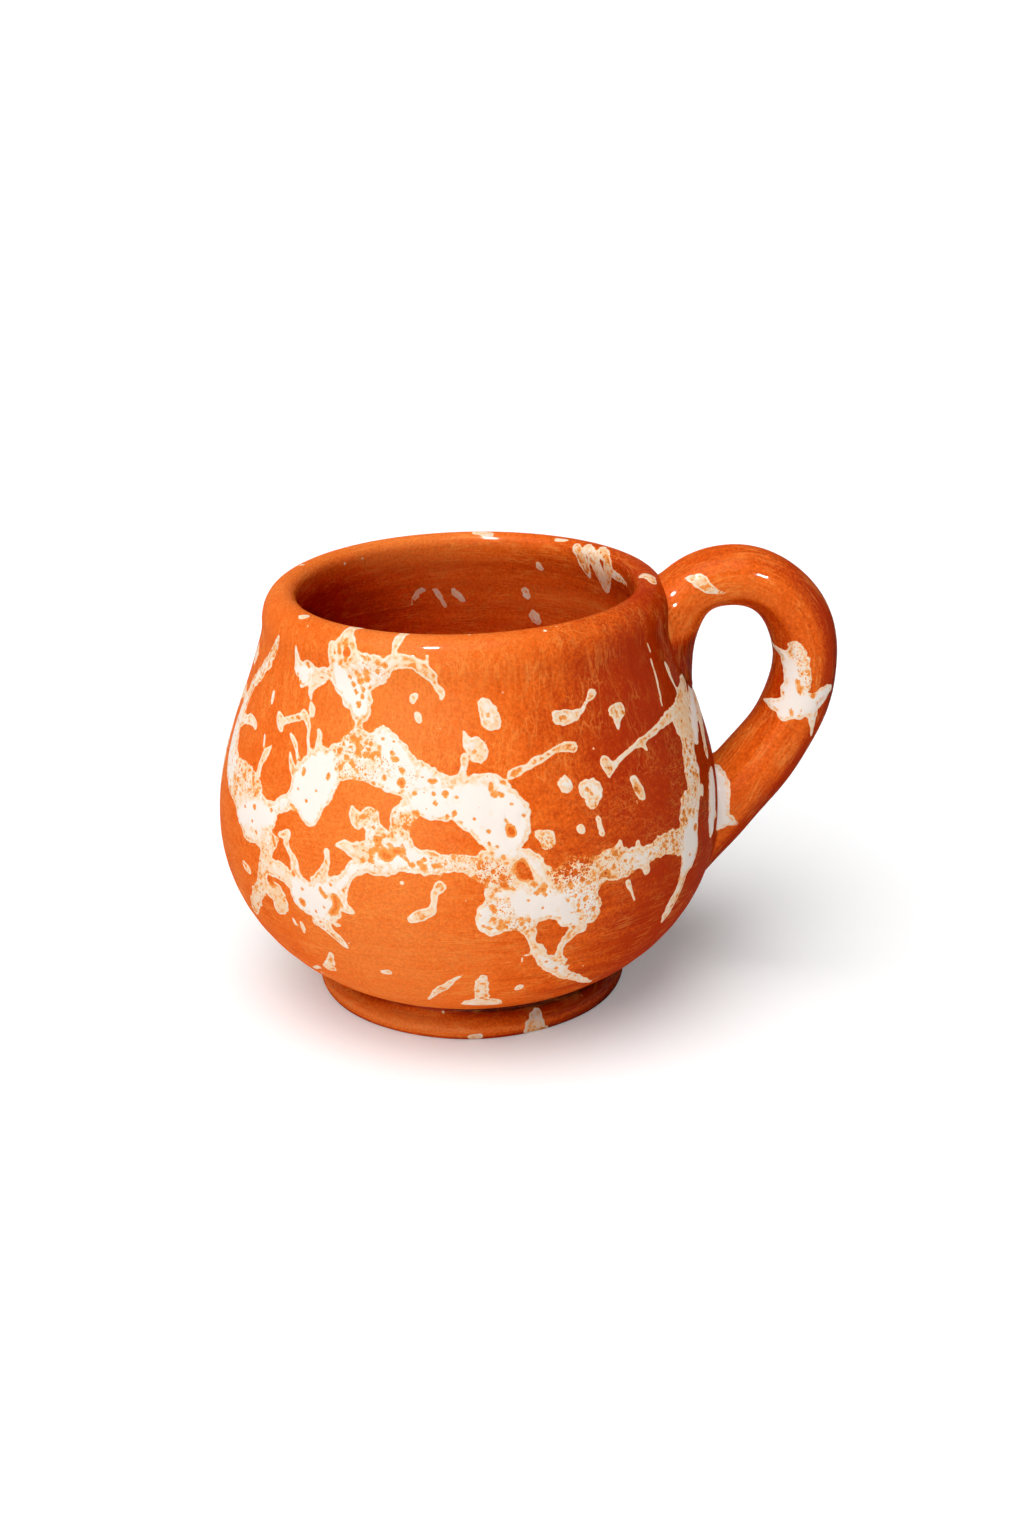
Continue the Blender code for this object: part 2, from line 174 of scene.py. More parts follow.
# The slip that is seen. Each splash is a body from 0, thin, to 1, white, a lace from 0, sound, to 1, foam,
# and then places along it: a pixel across, a pixel down and a half-width in millimetres.
BELLY_SPLASHES = [
    # the star below the lip, at the left
    (1.0, 0.1, (337, 666, 1.2), (343, 678, 1.9), (351, 691, 2.2), (359, 702, 1.9), (360, 711, 1.5)),
    (1.0, 0.15, (352, 697, 1.3), (362, 699, 1.4), (361, 708, 1.2)),
    (0.7, 0.6, (353, 666, 1.0), (361, 667, 1.4), (371, 669, 1.5), (380, 673, 1.2)),
    (0.7, 0.4, (360, 660, 0.9), (365, 657, 0.8)), (0.7, 0.5, (374, 662, 0.9), (378, 660, 0.7)),
    (0.8, 0.5, (366, 682, 1.4), (374, 682, 0.9), (382, 679, 0.6)),
    (0.7, 0.6, (380, 672, 1.1), (386, 667, 1.0), (391, 664, 0.9)),
    (0.4, 0.5, (388, 664, 0.9), (396, 661, 1.0), (405, 661, 1.0), (415, 664, 0.9), (424, 670, 1.0),
     (431, 676, 0.9), (434, 682, 0.55), (436, 686, 0.45), (440, 691, 0.6), (442, 695, 0.5),
     (441, 699, 0.3)),
    (0.4, 0.1, (331, 643, 0.45), (331, 655, 0.55), (335, 664, 0.7)),
    (0.4, 0.1, (339, 642, 0.6), (340, 655, 0.6), (343, 664, 0.8)),
    (0.4, 0.1, (362, 626, 0.4), (353, 629, 0.8), (347, 634, 0.9), (343, 641, 0.8)),
    (0.4, 0.1, (350, 638, 0.7), (353, 646, 0.6), (355, 655, 0.6), (351, 663, 0.7)),
    (0.9, 0.1, (298, 668, 0.9), (306, 673, 1.5), (303, 683, 0.9)),
    (0.8, 0.2, (309, 664, 0.6), (312, 672, 0.9)),
    (0.6, 0.1, (296, 647, 0.3), (297, 656, 0.6), (299, 666, 0.8)),
    (0.6, 0.3, (314, 673, 0.8), (324, 671, 0.6), (333, 675, 0.9)),
    (0.3, 0.1, (326, 680, 0.4), (317, 684, 0.6), (311, 690, 0.6), (311, 697, 0.25)),
    (0.6, 0.8, (360, 714, 0.9), (359, 726, 0.55), (358, 736, 0.9)),
    # the white blob at the left, and the arch of lace from it to the peak
    (1.0, 0.0, (320, 758, 1.6), (313, 772, 2.8), (308, 785, 3.2), (309, 800, 2.9), (310, 814, 1.8)),
    (1.0, 0.1, (332, 758, 1.6), (330, 770, 2.2), (327, 784, 1.8), (322, 797, 1.6)),
    (0.9, 0.2, (300, 792, 2.0), (291, 800, 1.4), (283, 805, 1.1)),
    (0.4, 0.3, (290, 752, 0.25), (291, 762, 0.5), (294, 772, 0.8)),
    (0.6, 0.85, (338, 762, 2.4), (350, 764, 2.4), (364, 765, 2.3), (378, 768, 2.5)),
    (0.5, 0.95, (340, 750, 1.1), (350, 745, 1.6), (360, 744, 1.8), (372, 752, 2.0)),
    (1.0, 0.35, (382, 736, 1.4), (386, 744, 1.8), (393, 754, 2.0)),
    (0.8, 0.3, (374, 738, 0.8), (377, 746, 1.4)),
    (0.8, 0.3, (393, 741, 0.9), (399, 752, 1.3), (407, 761, 1.2)),
    # the main band across the belly
    (0.9, 0.5, (380, 770, 2.4), (394, 775, 2.7), (408, 780, 2.5), (420, 783, 2.4)),
    (0.9, 0.5, (420, 768, 1.0), (428, 774, 1.2), (438, 782, 1.4)),
    (1.0, 0.2, (418, 800, 1.8), (428, 802, 2.4), (442, 802, 2.6), (460, 803, 2.8), (480, 808, 3.8),
     (499, 818, 4.4)),
    (1.0, 0.1, (499, 818, 4.2), (508, 825, 3.3), (515, 830, 1.7)),
    (1.0, 0.1, (497, 835, 2.0), (506, 842, 1.9), (514, 842, 1.3)),
    (0.7, 0.2, (516, 812, 1.0), (524, 814, 0.8)), (0.7, 0.2, (508, 801, 1.0), (513, 803, 0.7)),
    (0.7, 0.5, (474, 784, 1.2), (486, 781, 1.2), (498, 784, 1.1), (505, 788, 1.0)),
    (0.6, 0.3, (452, 781, 0.6), (464, 786, 1.0)),
    (0.5, 0.2, (464, 758, 0.6), (464, 766, 0.5), (461, 774, 0.5), (459, 780, 0.7)),
    (0.4, 0.5, (512, 774, 0.8), (520, 770, 0.7), (528, 767, 0.5), (536, 761, 0.65), (545, 757, 0.55),
     (553, 751, 0.5), (560, 748, 0.6), (572, 747, 0.95)),
    # drops above the band
    (0.6, 0.2, (484, 704, 0.95), (489, 714, 1.3), (494, 724, 1.0)),
    (0.7, 0.1, (486, 718, 0.8), (487, 724, 0.6)),
    (0.6, 0.1, (464, 732, 0.3), (467, 740, 0.7), (474, 746, 1.4), (481, 752, 1.1)),
    (0.6, 0.1, (475, 758, 0.5)), (0.5, 0.1, (480, 758, 0.6), (481, 763, 0.2)),
    (0.45, 0.1, (414, 697, 0.7), (413, 701, 0.5)), (0.45, 0.1, (417, 715, 0.55), (419, 720, 0.5)),
    (0.45, 0.1, (427, 657, 0.35)), (0.5, 0.0, (440, 728, 0.2)), (0.3, 0.0, (593, 748, 0.25)),
    # the column down the left edge
    (0.7, 0.7, (279, 637, 0.4), (276, 647, 0.8), (270, 660, 1.2), (262, 672, 1.3), (254, 683, 1.2),
     (246, 700, 1.5)),
    (0.9, 0.5, (246, 700, 1.5), (239, 718, 1.9), (234, 740, 2.4), (232, 758, 2.8), (234, 776, 2.8)),
    (0.5, 0.9, (237, 778, 3.2), (247, 783, 2.6), (255, 790, 2.0)),
    (0.6, 0.5, (240, 790, 2.6), (243, 800, 2.6)),
    (1.0, 0.15, (244, 812, 2.5), (257, 816, 2.7), (269, 818, 1.8)),
    (0.6, 0.4, (248, 828, 2.0), (261, 834, 1.8), (268, 838, 1.4)),
    (0.8, 0.2, (259, 802, 1.4), (267, 806, 1.0)),
    (0.8, 0.3, (272, 812, 1.0), (277, 806, 1.0), (285, 803, 1.1)),
    (0.5, 0.6, (264, 840, 1.6), (266, 852, 1.4), (265, 863, 1.5), (263, 874, 1.3), (261, 886, 1.3),
     (256, 900, 1.4), (254, 911, 0.8)),
    (0.4, 0.7, (271, 846, 1.1), (274, 840, 0.9)),
    (0.5, 0.4, (268, 868, 1.2), (278, 870, 1.5), (288, 877, 1.4)),
    (0.35, 0.2, (270, 890, 1.4), (277, 893, 1.8), (280, 903, 1.8), (279, 909, 1.0)),
    (0.3, 0.2, (245, 865, 0.8), (249, 870, 0.7)),
    (0.5, 0.2, (272, 746, 0.25), (266, 754, 0.7), (261, 763, 0.6), (259, 773, 0.6)),
    (0.6, 0.1, (274, 692, 0.4), (272, 702, 0.45)),
    (0.8, 0.3, (241, 721, 1.0), (247, 719, 0.9), (253, 721, 0.8), (256, 727, 0.5)),
    (0.3, 0.1, (265, 735, 0.3), (264, 746, 0.35)),
    # the hooked stroke
    (0.5, 0.2, (279, 713, 0.4), (280, 721, 0.9), (281, 728, 0.7)),
    (0.4, 0.4, (281, 722, 0.7), (291, 719, 0.6), (300, 717, 0.6)),
    (0.7, 0.1, (304, 713, 0.6), (307, 721, 0.6), (309, 729, 0.4), (308, 740, 0.35), (309, 750, 0.35),
     (311, 757, 0.5)),
    (0.6, 0.1, (319, 731, 0.4), (320, 737, 0.5), (317, 746, 0.4), (317, 755, 0.4)),
    (0.5, 0.0, (311, 703, 0.3), (312, 708, 0.65), (313, 714, 0.5)),
    (0.5, 0.1, (291, 735, 0.4), (295, 743, 0.5), (297, 752, 0.35), (297, 758, 0.3)),
    # the cluster low at the left
    (1.0, 0.05, (298, 886, 1.8), (304, 896, 2.7), (314, 901, 2.6), (326, 904, 1.8)),
    (0.9, 0.3, (322, 888, 1.6), (332, 889, 1.4), (341, 885, 1.2), (347, 876, 1.0), (355, 868, 1.1)),
    (0.9, 0.2, (320, 915, 1.1), (330, 918, 0.8), (338, 915, 0.6)),
    (0.8, 0.1, (343, 895, 0.7), (342, 905, 1.0), (348, 909, 0.8), (354, 913, 0.3)),
    (0.7, 0.3, (280, 834, 0.5), (288, 833, 0.7), (286, 841, 0.6), (289, 850, 0.5), (294, 860, 0.6),
     (297, 866, 0.5)),
    (0.7, 0.2, (293, 866, 0.5), (296, 876, 1.0), (298, 882, 1.4)),
    (0.6, 0.3, (327, 852, 0.6), (327, 862, 0.6), (323, 872, 0.8), (317, 881, 1.1)),
    (0.6, 0.4, (336, 880, 0.7), (333, 886, 0.9)),
    (0.6, 0.5, (317, 920, 1.0), (326, 927, 1.0), (336, 936, 0.8), (343, 943, 0.7), (348, 948, 0.3)),
    (0.5, 0.3, (336, 925, 0.4), (340, 925, 0.3)), (0.4, 0.1, (294, 920, 0.4), (296, 924, 0.35)),
    (0.4, 0.1, (301, 922, 0.3), (303, 927, 0.5), (304, 932, 0.3)),
    # the spongy band below the main one
    (0.5, 0.4, (352, 807, 0.3), (354, 816, 0.8), (357, 826, 0.6)),
    (0.6, 0.5, (362, 818, 0.7), (369, 812, 0.8), (375, 814, 0.7)),
    (0.7, 0.5, (368, 822, 1.1), (375, 831, 1.5), (380, 841, 1.9), (385, 852, 2.4), (388, 858, 2.4)),
    (0.5, 0.4, (337, 845, 0.4), (345, 846, 0.9), (355, 850, 1.2), (368, 853, 1.7)),
    (0.6, 0.5, (352, 869, 0.8), (363, 866, 1.1), (376, 868, 1.4)),
    (0.9, 0.3, (388, 858, 2.4), (400, 854, 2.2), (412, 860, 1.9), (426, 862, 1.7)),
    (0.6, 0.6, (426, 863, 1.7), (440, 864, 1.5), (450, 864, 1.3), (462, 863, 1.4), (474, 867, 1.5)),
    (0.35, 1.0, (476, 866, 1.4), (487, 871, 2.3), (499, 876, 2.3), (507, 884, 1.4)),
    (0.7, 0.5, (413, 806, 1.0), (399, 813, 1.2), (396, 824, 0.9), (398, 836, 1.2), (402, 846, 1.6)),
    (0.25, 0.9, (411, 817, 0.9), (407, 826, 0.9), (404, 832, 0.7)),
    # the loop and the big blob low at the right
    (0.7, 0.3, (484, 857, 0.9), (496, 855, 1.1), (508, 857, 1.1), (521, 855, 1.0), (530, 858, 1.2),
     (538, 866, 1.3), (543, 876, 1.1), (547, 884, 1.0)),
    (0.6, 0.4, (509, 860, 0.7), (515, 870, 0.65), (520, 879, 0.8), (527, 887, 1.0)),
    (0.9, 0.1, (500, 846, 1.3), (505, 854, 1.2)),
    (0.55, 0.7, (542, 835, 0.9), (548, 839, 1.3), (545, 847, 0.5)),
    (0.9, 0.4, (486, 913, 1.4), (484, 922, 1.3), (491, 929, 1.2), (500, 928, 1.0)),
    (0.8, 0.75, (495, 905, 1.5), (505, 912, 2.0), (508, 920, 1.9), (520, 920, 1.8), (529, 925, 1.3)),
    (0.7, 0.4, (489, 895, 0.8), (503, 895, 1.1), (520, 894, 1.4)),
    (0.7, 0.5, (512, 888, 0.9), (520, 884, 0.8)),
    (1.0, 0.15, (524, 906, 2.2), (541, 906, 2.5), (558, 905, 2.4), (567, 911, 2.0), (567, 920, 1.2)),
    (0.9, 0.7, (570, 896, 2.2), (582, 900, 2.3), (593, 905, 1.5)),
    (0.9, 0.7, (578, 914, 2.0), (590, 915, 1.5)), (0.8, 0.3, (578, 924, 1.2), (583, 929, 0.6)),
    (0.8, 0.4, (536, 888, 1.2), (546, 891, 1.3), (555, 894, 1.3)),
    (0.6, 0.8, (565, 886, 1.4), (580, 886, 1.7), (593, 884, 1.4)),
    (0.25, 1.0, (555, 878, 1.6), (570, 876, 2.2), (584, 872, 2.0)),
    (0.12, 1.0, (572, 865, 1.6), (585, 862, 1.4)),
    (0.7, 0.2, (531, 933, 0.9), (532, 941, 0.6), (536, 949, 0.7), (541, 957, 1.0), (549, 963, 1.4),
     (557, 966, 1.4)),
    (0.7, 0.2, (557, 966, 1.4), (564, 974, 1.1), (573, 976, 0.9), (583, 980, 0.7), (592, 983, 0.3)),
    (0.6, 0.2, (576, 929, 0.9), (568, 937, 0.8), (561, 946, 0.55), (559, 954, 0.6), (559, 960, 0.8)),
    (0.4, 0.1, (541, 946, 0.4), (545, 951, 0.25)),
    (0.25, 0.1, (531, 953, 0.25), (523, 957, 0.2), (522, 962, 0.15)),
    # the spongy arm to the right
    (0.5, 0.8, (592, 876, 1.6), (601, 867, 1.7), (612, 868, 1.8), (622, 866, 1.9)),
    (0.7, 0.6, (622, 862, 1.9), (632, 860, 1.8), (643, 857, 1.5), (653, 850, 1.3), (660, 846, 1.3)),
    (0.4, 0.9, (600, 862, 1.2), (609, 856, 1.2), (617, 856, 1.2)),
    (0.5, 0.2, (620, 841, 0.3), (620, 850, 0.6)), (0.5, 0.2, (638, 842, 0.4), (638, 850, 0.7)),
    (0.4, 0.3, (628, 883, 0.5), (632, 893, 0.3), (635, 902, 0.15)),
    (0.7, 0.2, (644, 862, 0.9), (646, 870, 0.8)),
    (0.6, 1.0, (660, 846, 1.5), (668, 843, 1.8), (678, 842, 2.0)),
    # the column by the handle
    (0.3, 0.3, (684, 682, 1.4), (683, 698, 2.2), (683, 714, 2.6), (687, 730, 2.4)),
    (1.0, 0.2, (692, 686, 1.2), (693, 702, 1.8), (694, 720, 1.8), (695, 736, 1.4)),
    (0.6, 0.9, (688, 738, 2.0), (689, 752, 2.2), (691, 770, 2.2), (693, 786, 1.8), (692, 800, 1.8)),
    (1.0, 0.2, (697, 768, 0.7), (698, 785, 0.8), (697, 805, 0.8), (695, 822, 1.0)),
    (0.6, 0.9, (688, 806, 2.3), (687, 818, 2.4)),
    (1.0, 0.1, (691, 824, 1.8), (690, 838, 2.7), (690, 852, 2.7), (686, 866, 1.6)),
    (0.5, 0.3, (700, 700, 2.4), (703, 730, 1.4), (707, 752, 1.0)),
    (1.0, 0.1, (713, 772, 1.2), (713, 785, 2.2), (713, 806, 2.4), (712, 826, 1.8)),
    (0.9, 0.0, (702, 786, 0.5), (702, 793, 0.6)),
    (0.5, 0.3, (684, 870, 1.2), (680, 886, 1.0), (674, 898, 1.2), (668, 910, 1.3), (662, 921, 0.4)),
    (0.6, 0.1, (665, 663, 0.35), (668, 670, 0.6), (671, 678, 0.4), (677, 691, 0.35)),
    (0.25, 0.0, (651, 660, 0.25), (657, 681, 0.3), (662, 706, 0.25)),
    (0.4, 0.0, (647, 643, 0.2), (650, 651, 0.25)),
    (0.4, 0.2, (678, 707, 0.9), (669, 716, 0.9), (661, 724, 0.7), (652, 733, 0.6), (640, 742, 0.55),
     (630, 750, 0.4), (620, 759, 0.45), (613, 767, 0.5)),
    (0.3, 0.1, (641, 743, 0.4), (647, 750, 0.25)), (0.3, 0.1, (676, 722, 1.0), (678, 732, 0.6)),
    # drops at the right
    (0.5, 0.3, (559, 717, 1.1), (566, 717, 1.2), (574, 715, 0.8), (581, 711, 0.45), (585, 704, 0.3),
     (588, 699, 0.4), (592, 693, 0.8)),
    (0.5, 0.2, (613, 710, 1.0), (620, 710, 1.1), (617, 719, 0.8), (618, 729, 0.25)),
    (0.4, 0.5, (604, 760, 0.7), (608, 766, 1.05), (609, 776, 0.4)), (0.7, 0.2, (565, 785, 1.25)),
    (0.7, 0.15, (587, 789, 1.5), (596, 790, 1.2), (592, 803, 1.0)),
    (0.5, 0.1, (598, 818, 0.45), (600, 826, 0.45)), (0.45, 0.1, (602, 833, 0.55)),
    (0.3, 0.1, (581, 829, 0.75)), (0.2, 0.3, (634, 780, 0.8), (638, 788, 1.0), (643, 797, 0.6)),
    (0.25, 0.1, (637, 802, 0.3)),
    # drops low on the belly
    (0.5, 0.3, (440, 887, 0.9), (435, 894, 0.7), (434, 903, 0.5), (431, 911, 0.8), (424, 914, 1.0),
     (412, 919, 0.8)),
    (0.5, 0.0, (384, 972, 0.6), (389, 972, 0.6)), (0.4, 0.0, (402, 883, 0.4)),
    (0.4, 0.0, (466, 900, 0.25)),
    (0.4, 0.3, (331, 953, 0.4), (331, 962, 0.8), (327, 967, 0.8), (333, 968, 0.8)),
    (0.5, 0.2, (319, 967, 0.5), (312, 969, 0.3)), (0.5, 0.2, (321, 974, 0.4)),
    (0.35, 0.2, (462, 975, 0.3), (452, 981, 0.5), (444, 987, 0.8), (437, 991, 0.7), (429, 999, 0.3)),
    (0.6, 0.2, (483, 977, 0.7), (482, 985, 1.1), (482, 992, 1.05), (482, 1000, 1.0)),
    (0.6, 0.1, (469, 1003, 1.2), (476, 1002, 1.8), (488, 1002, 1.8), (495, 1003, 1.2)),
    (0.3, 0.0, (520, 986, 0.7), (518, 988, 0.7)), (0.4, 0.0, (605, 960, 0.25)),
    (0.3, 0.0, (583, 966, 0.3)), (0.3, 0.0, (573, 963, 0.2)), (0.3, 0.0, (637, 924, 0.2)),
    # on the lip
    (0.6, 0.0, (300, 616, 0.35), (304, 617, 0.7), (309, 617, 0.3)), (0.4, 0.0, (308, 626, 0.25)),
    (0.6, 0.0, (409, 634, 0.3), (402, 636, 0.7), (397, 642, 0.7), (394, 650, 0.35), (394, 657, 0.3)),
    (0.35, 0.3, (643, 575, 0.9), (650, 577, 1.0), (653, 583, 0.6)),
    (0.5, 0.1, (475, 533, 0.6), (490, 535, 0.7)), (0.4, 0.0, (411, 542, 0.3)),
    (0.4, 0.0, (362, 558, 0.35)), (0.4, 0.0, (345, 564, 0.35)), (0.4, 0.0, (302, 565, 0.6)),
    (0.4, 0.1, (556, 540, 0.4), (566, 541, 0.5)), (0.4, 0.0, (469, 633, 0.3)),
    (0.4, 0.0, (515, 630, 0.25)), (0.4, 0.0, (545, 631, 0.35)), (0.4, 0.0, (556, 627, 0.3)),
    # inside, on the far wall
    (0.4, 0.0, (424, 588, 0.45), (419, 592, 0.5), (411, 603, 0.25)), (0.3, 0.0, (423, 582, 0.3)),
    (0.4, 0.0, (434, 588, 0.4), (440, 597, 0.45), (447, 609, 0.25)),
    (0.4, 0.0, (453, 591, 0.5), (459, 596, 0.5), (465, 602, 0.25)),
    (0.5, 0.0, (538, 565, 0.6), (541, 569, 0.5)), (0.6, 0.0, (525, 590, 0.7), (527, 596, 0.7)),
    (0.6, 0.0, (533, 612, 0.8), (537, 620, 0.9)),
    (0.35, 0.6, (576, 547, 0.8), (580, 556, 1.0), (586, 568, 0.8), (590, 576, 0.4)),
    (0.5, 0.3, (588, 547, 0.8), (594, 560, 1.0), (601, 576, 1.0), (606, 590, 0.9)),
    (0.35, 0.6, (602, 549, 0.8), (607, 560, 1.0), (608, 572, 0.9), (608, 585, 0.8)),
    (0.5, 0.6, (612, 575, 0.8), (620, 580, 0.7), (626, 586, 0.5)),
]
# Burst bubbles in the slip, which bare the clay: a pixel across, a pixel down and a half-width, and again for
# each further place of a long one.
BELLY_BUBBLES = [
    # in the star
    (385, 667, 0.5), (366, 672, 0.4), (367, 680, 0.45), (378, 672, 0.35), (358, 674, 0.35),
    (354, 683, 0.3), (360, 682, 0.3), (350, 675, 0.3), (356, 691, 0.25), (363, 690, 0.3), (359, 705, 0.45),
    (363, 696, 0.25), (298, 674, 0.25), (309, 665, 0.3), (300, 683, 0.3), (340, 664, 0.25),
    (346, 641, 0.3, 346, 650, 0.4, 346, 660, 0.3),
    # in the blob and the arch
    (304, 768, 0.3, 304, 774, 0.3), (329, 775, 0.35, 327, 779, 0.3), (317, 790, 0.3), (307, 800, 0.3),
    (298, 790, 0.25), (291, 805, 0.25, 296, 810, 0.25), (341, 767, 0.35), (335, 752, 0.3),
    (353, 738, 0.45), (357, 742, 0.4), (371, 745, 0.35), (383, 740, 0.3), (380, 749, 0.3),
    (379, 755, 0.35), (365, 755, 0.35), (357, 753, 0.4), (346, 756, 0.35), (353, 763, 0.4),
    (394, 760, 0.35, 397, 760, 0.3), (393, 752, 0.3), (357, 772, 0.35), (402, 769, 0.4), (384, 779, 0.45),
    (374, 783, 0.3), (402, 783, 0.7), (415, 794, 0.4),
    # in the main band
    (430, 781, 0.4, 435, 780, 0.4), (445, 794, 0.5), (456, 796, 0.3), (434, 793, 0.3), (435, 803, 0.35),
    (455, 812, 0.4), (447, 817, 0.3), (490, 785, 0.3, 491, 789, 0.3), (503, 784, 0.4),
    (497, 793, 0.3, 494, 797, 0.3), (502, 796, 0.3), (506, 820, 0.3), (510, 829, 0.75, 512, 832, 0.7),
    (489, 832, 0.35), (489, 843, 0.25), (498, 845, 0.25), (512, 805, 0.3), (414, 811, 0.3, 418, 815, 0.35),
    (524, 816, 0.3), (475, 820, 0.25),
    # in the drops
    (488, 715, 0.35), (474, 753, 0.35), (560, 717, 0.25), (566, 718, 0.35), (616, 713, 0.35),
    (623, 712, 0.3), (587, 790, 0.4), (592, 795, 0.25), (596, 806, 0.3), (515, 772, 0.3), (514, 776, 0.25),
    (609, 769, 0.25), (546, 841, 0.25),
    # in the left column and the cluster below it
    (273, 656, 0.35), (269, 665, 0.45), (262, 672, 0.3), (254, 807, 0.5), (256, 833, 0.4), (246, 806, 0.3),
    (252, 822, 0.25), (272, 810, 0.4), (272, 883, 0.8), (269, 899, 0.35), (285, 897, 0.3), (268, 872, 0.3),
    (293, 873, 0.4), (302, 900, 0.5, 303, 904, 0.5), (303, 889, 0.35), (320, 888, 0.3, 320, 891, 0.3),
    (325, 897, 0.45), (324, 906, 0.3), (316, 912, 0.25), (288, 891, 0.25),
    (335, 897, 0.7, 336, 905, 0.6, 333, 913, 0.6), (330, 886, 0.3), (344, 891, 0.3), (342, 907, 0.25),
    (336, 930, 0.25), (333, 934, 0.25),
    # in the spongy band
    (363, 817, 0.4), (374, 827, 0.3), (376, 841, 0.6), (384, 836, 0.35), (371, 852, 0.4), (376, 849, 0.25),
    (383, 850, 0.35), (384, 857, 0.7, 389, 857, 0.7), (396, 852, 0.6, 399, 852, 0.5), (372, 861, 0.4),
    (363, 861, 0.4), (390, 845, 0.3), (412, 864, 0.4), (425, 869, 0.4), (434, 867, 0.4), (424, 860, 0.3),
    (404, 849, 0.3), (440, 865, 0.3), (406, 858, 0.3), (419, 864, 0.3),
    # in the loop and the big blob
    (521, 867, 1.0, 525, 876, 1.0), (503, 857, 0.4), (546, 933, 1.2, 550, 931, 1.3, 551, 944, 0.8),
    (491, 905, 0.3, 495, 911, 0.35), (494, 920, 0.35), (501, 921, 0.3), (482, 925, 0.25), (490, 929, 0.35),
    (498, 928, 0.25, 504, 926, 0.25), (527, 930, 0.3), (529, 900, 0.25), (546, 896, 0.25),
    (543, 909, 0.25), (537, 892, 0.35), (543, 890, 0.35), (544, 884, 0.35), (535, 885, 0.4),
    (568, 901, 0.3), (571, 884, 0.4, 571, 888, 0.3), (587, 896, 0.3), (579, 904, 0.25), (585, 901, 0.25),
    (594, 909, 0.4), (595, 916, 0.3), (579, 911, 0.25), (571, 912, 0.25), (568, 935, 0.35),
    (574, 928, 0.35), (547, 962, 0.3), (555, 960, 0.3), (556, 968, 0.35), (567, 964, 0.35),
    (504, 886, 0.5), (513, 889, 0.3),
    # in the arm and the column at the right
    (621, 853, 0.35), (625, 861, 0.3), (605, 874, 0.6), (598, 866, 0.4), (686, 687, 0.3), (690, 709, 0.3),
    (685, 752, 0.35), (690, 752, 0.4), (688, 760, 0.4), (694, 760, 0.4), (690, 770, 0.4), (697, 775, 0.4),
    (693, 785, 0.3), (684, 813, 0.5), (690, 812, 0.5), (686, 820, 0.4), (695, 825, 0.4, 695, 830, 0.4),
    (665, 845, 0.4), (672, 840, 0.35), (677, 846, 0.35), (690, 855, 0.3), (679, 878, 0.5), (677, 896, 0.4),
    (672, 906, 0.4), (637, 789, 0.5),
    # in the drops low on the belly
    (483, 984, 0.4), (478, 991, 0.35), (482, 998, 0.45), (333, 966, 0.3),
]
SPLASH_BLUR, BUBBLE_BLUR = 2.2, 0.6
BARE = -3.0


def in_photo(points):
    """Pixel x, pixel y and depth of points: sideways and upward shares of the depth, times focal length."""
    sideways, upward, behind = ((points - np.array(eye)) @ np.array(gaze)).T
    across = PHOTO_WIDTH / 2 - FOCAL_PIXELS * sideways / behind
    down = PHOTO_HEIGHT / 2 + FOCAL_PIXELS * upward / behind
    return np.stack([across, down, -behind], axis=1)


def smooth_line(knots, steps=6):
    """A line through knots: on each span a cubic whose end slopes are half the step between neighbours."""
    knots = np.array(knots, float)
    if len(knots) == 1:
        return np.repeat(knots, 2, axis=0)
    slopes = np.gradient(knots, axis=0)
    t = np.linspace(0, 1, steps, endpoint=False)[None, :, None]
    spans = (
        (2 * t**3 - 3 * t**2 + 1) * knots[:-1, None]
        + (t**3 - 2 * t**2 + t) * slopes[:-1, None]
        + (3 * t**2 - 2 * t**3) * knots[1:, None]
        + (t**3 - t**2) * slopes[1:, None]
    )
    return np.concatenate([spans.reshape(-1, knots.shape[1]), knots[-1:]])


def splashes_seen(points, normals, splashes, blur=SPLASH_BLUR):
    """Splashes given by photo pixels, laid on a surface: each place is the mean of the nearest points that
    face the eye under that pixel, weighted by a bell curve of their pixel distance."""
    catch, slack, layer, trace = 6.0, 0.1, 4.0, 1e-12
    points = points[np.einsum("ij,ij->i", normals, np.array(eye) - points) > 0]
    spots = in_photo(points)
    laid = []
    for body, lace, *knots in splashes:
        line = smooth_line(knots)
        miss = np.linalg.norm(spots[None, :, :2] - line[:, None, :2], axis=2)
        close = miss < np.maximum(catch, miss.min(axis=1, keepdims=True) + slack)
        front = np.where(close, spots[None, :, 2], np.inf).min(axis=1, keepdims=True)
        on_front = close & (spots[None, :, 2] < front + layer)
        weight = np.exp(-((miss / blur) ** 2)) * on_front + trace * close
        places = weight @ points / weight.sum(axis=1, keepdims=True)
        laid.append((body, lace, np.concatenate([places, line[:, 2:]], axis=1)))
    return laid


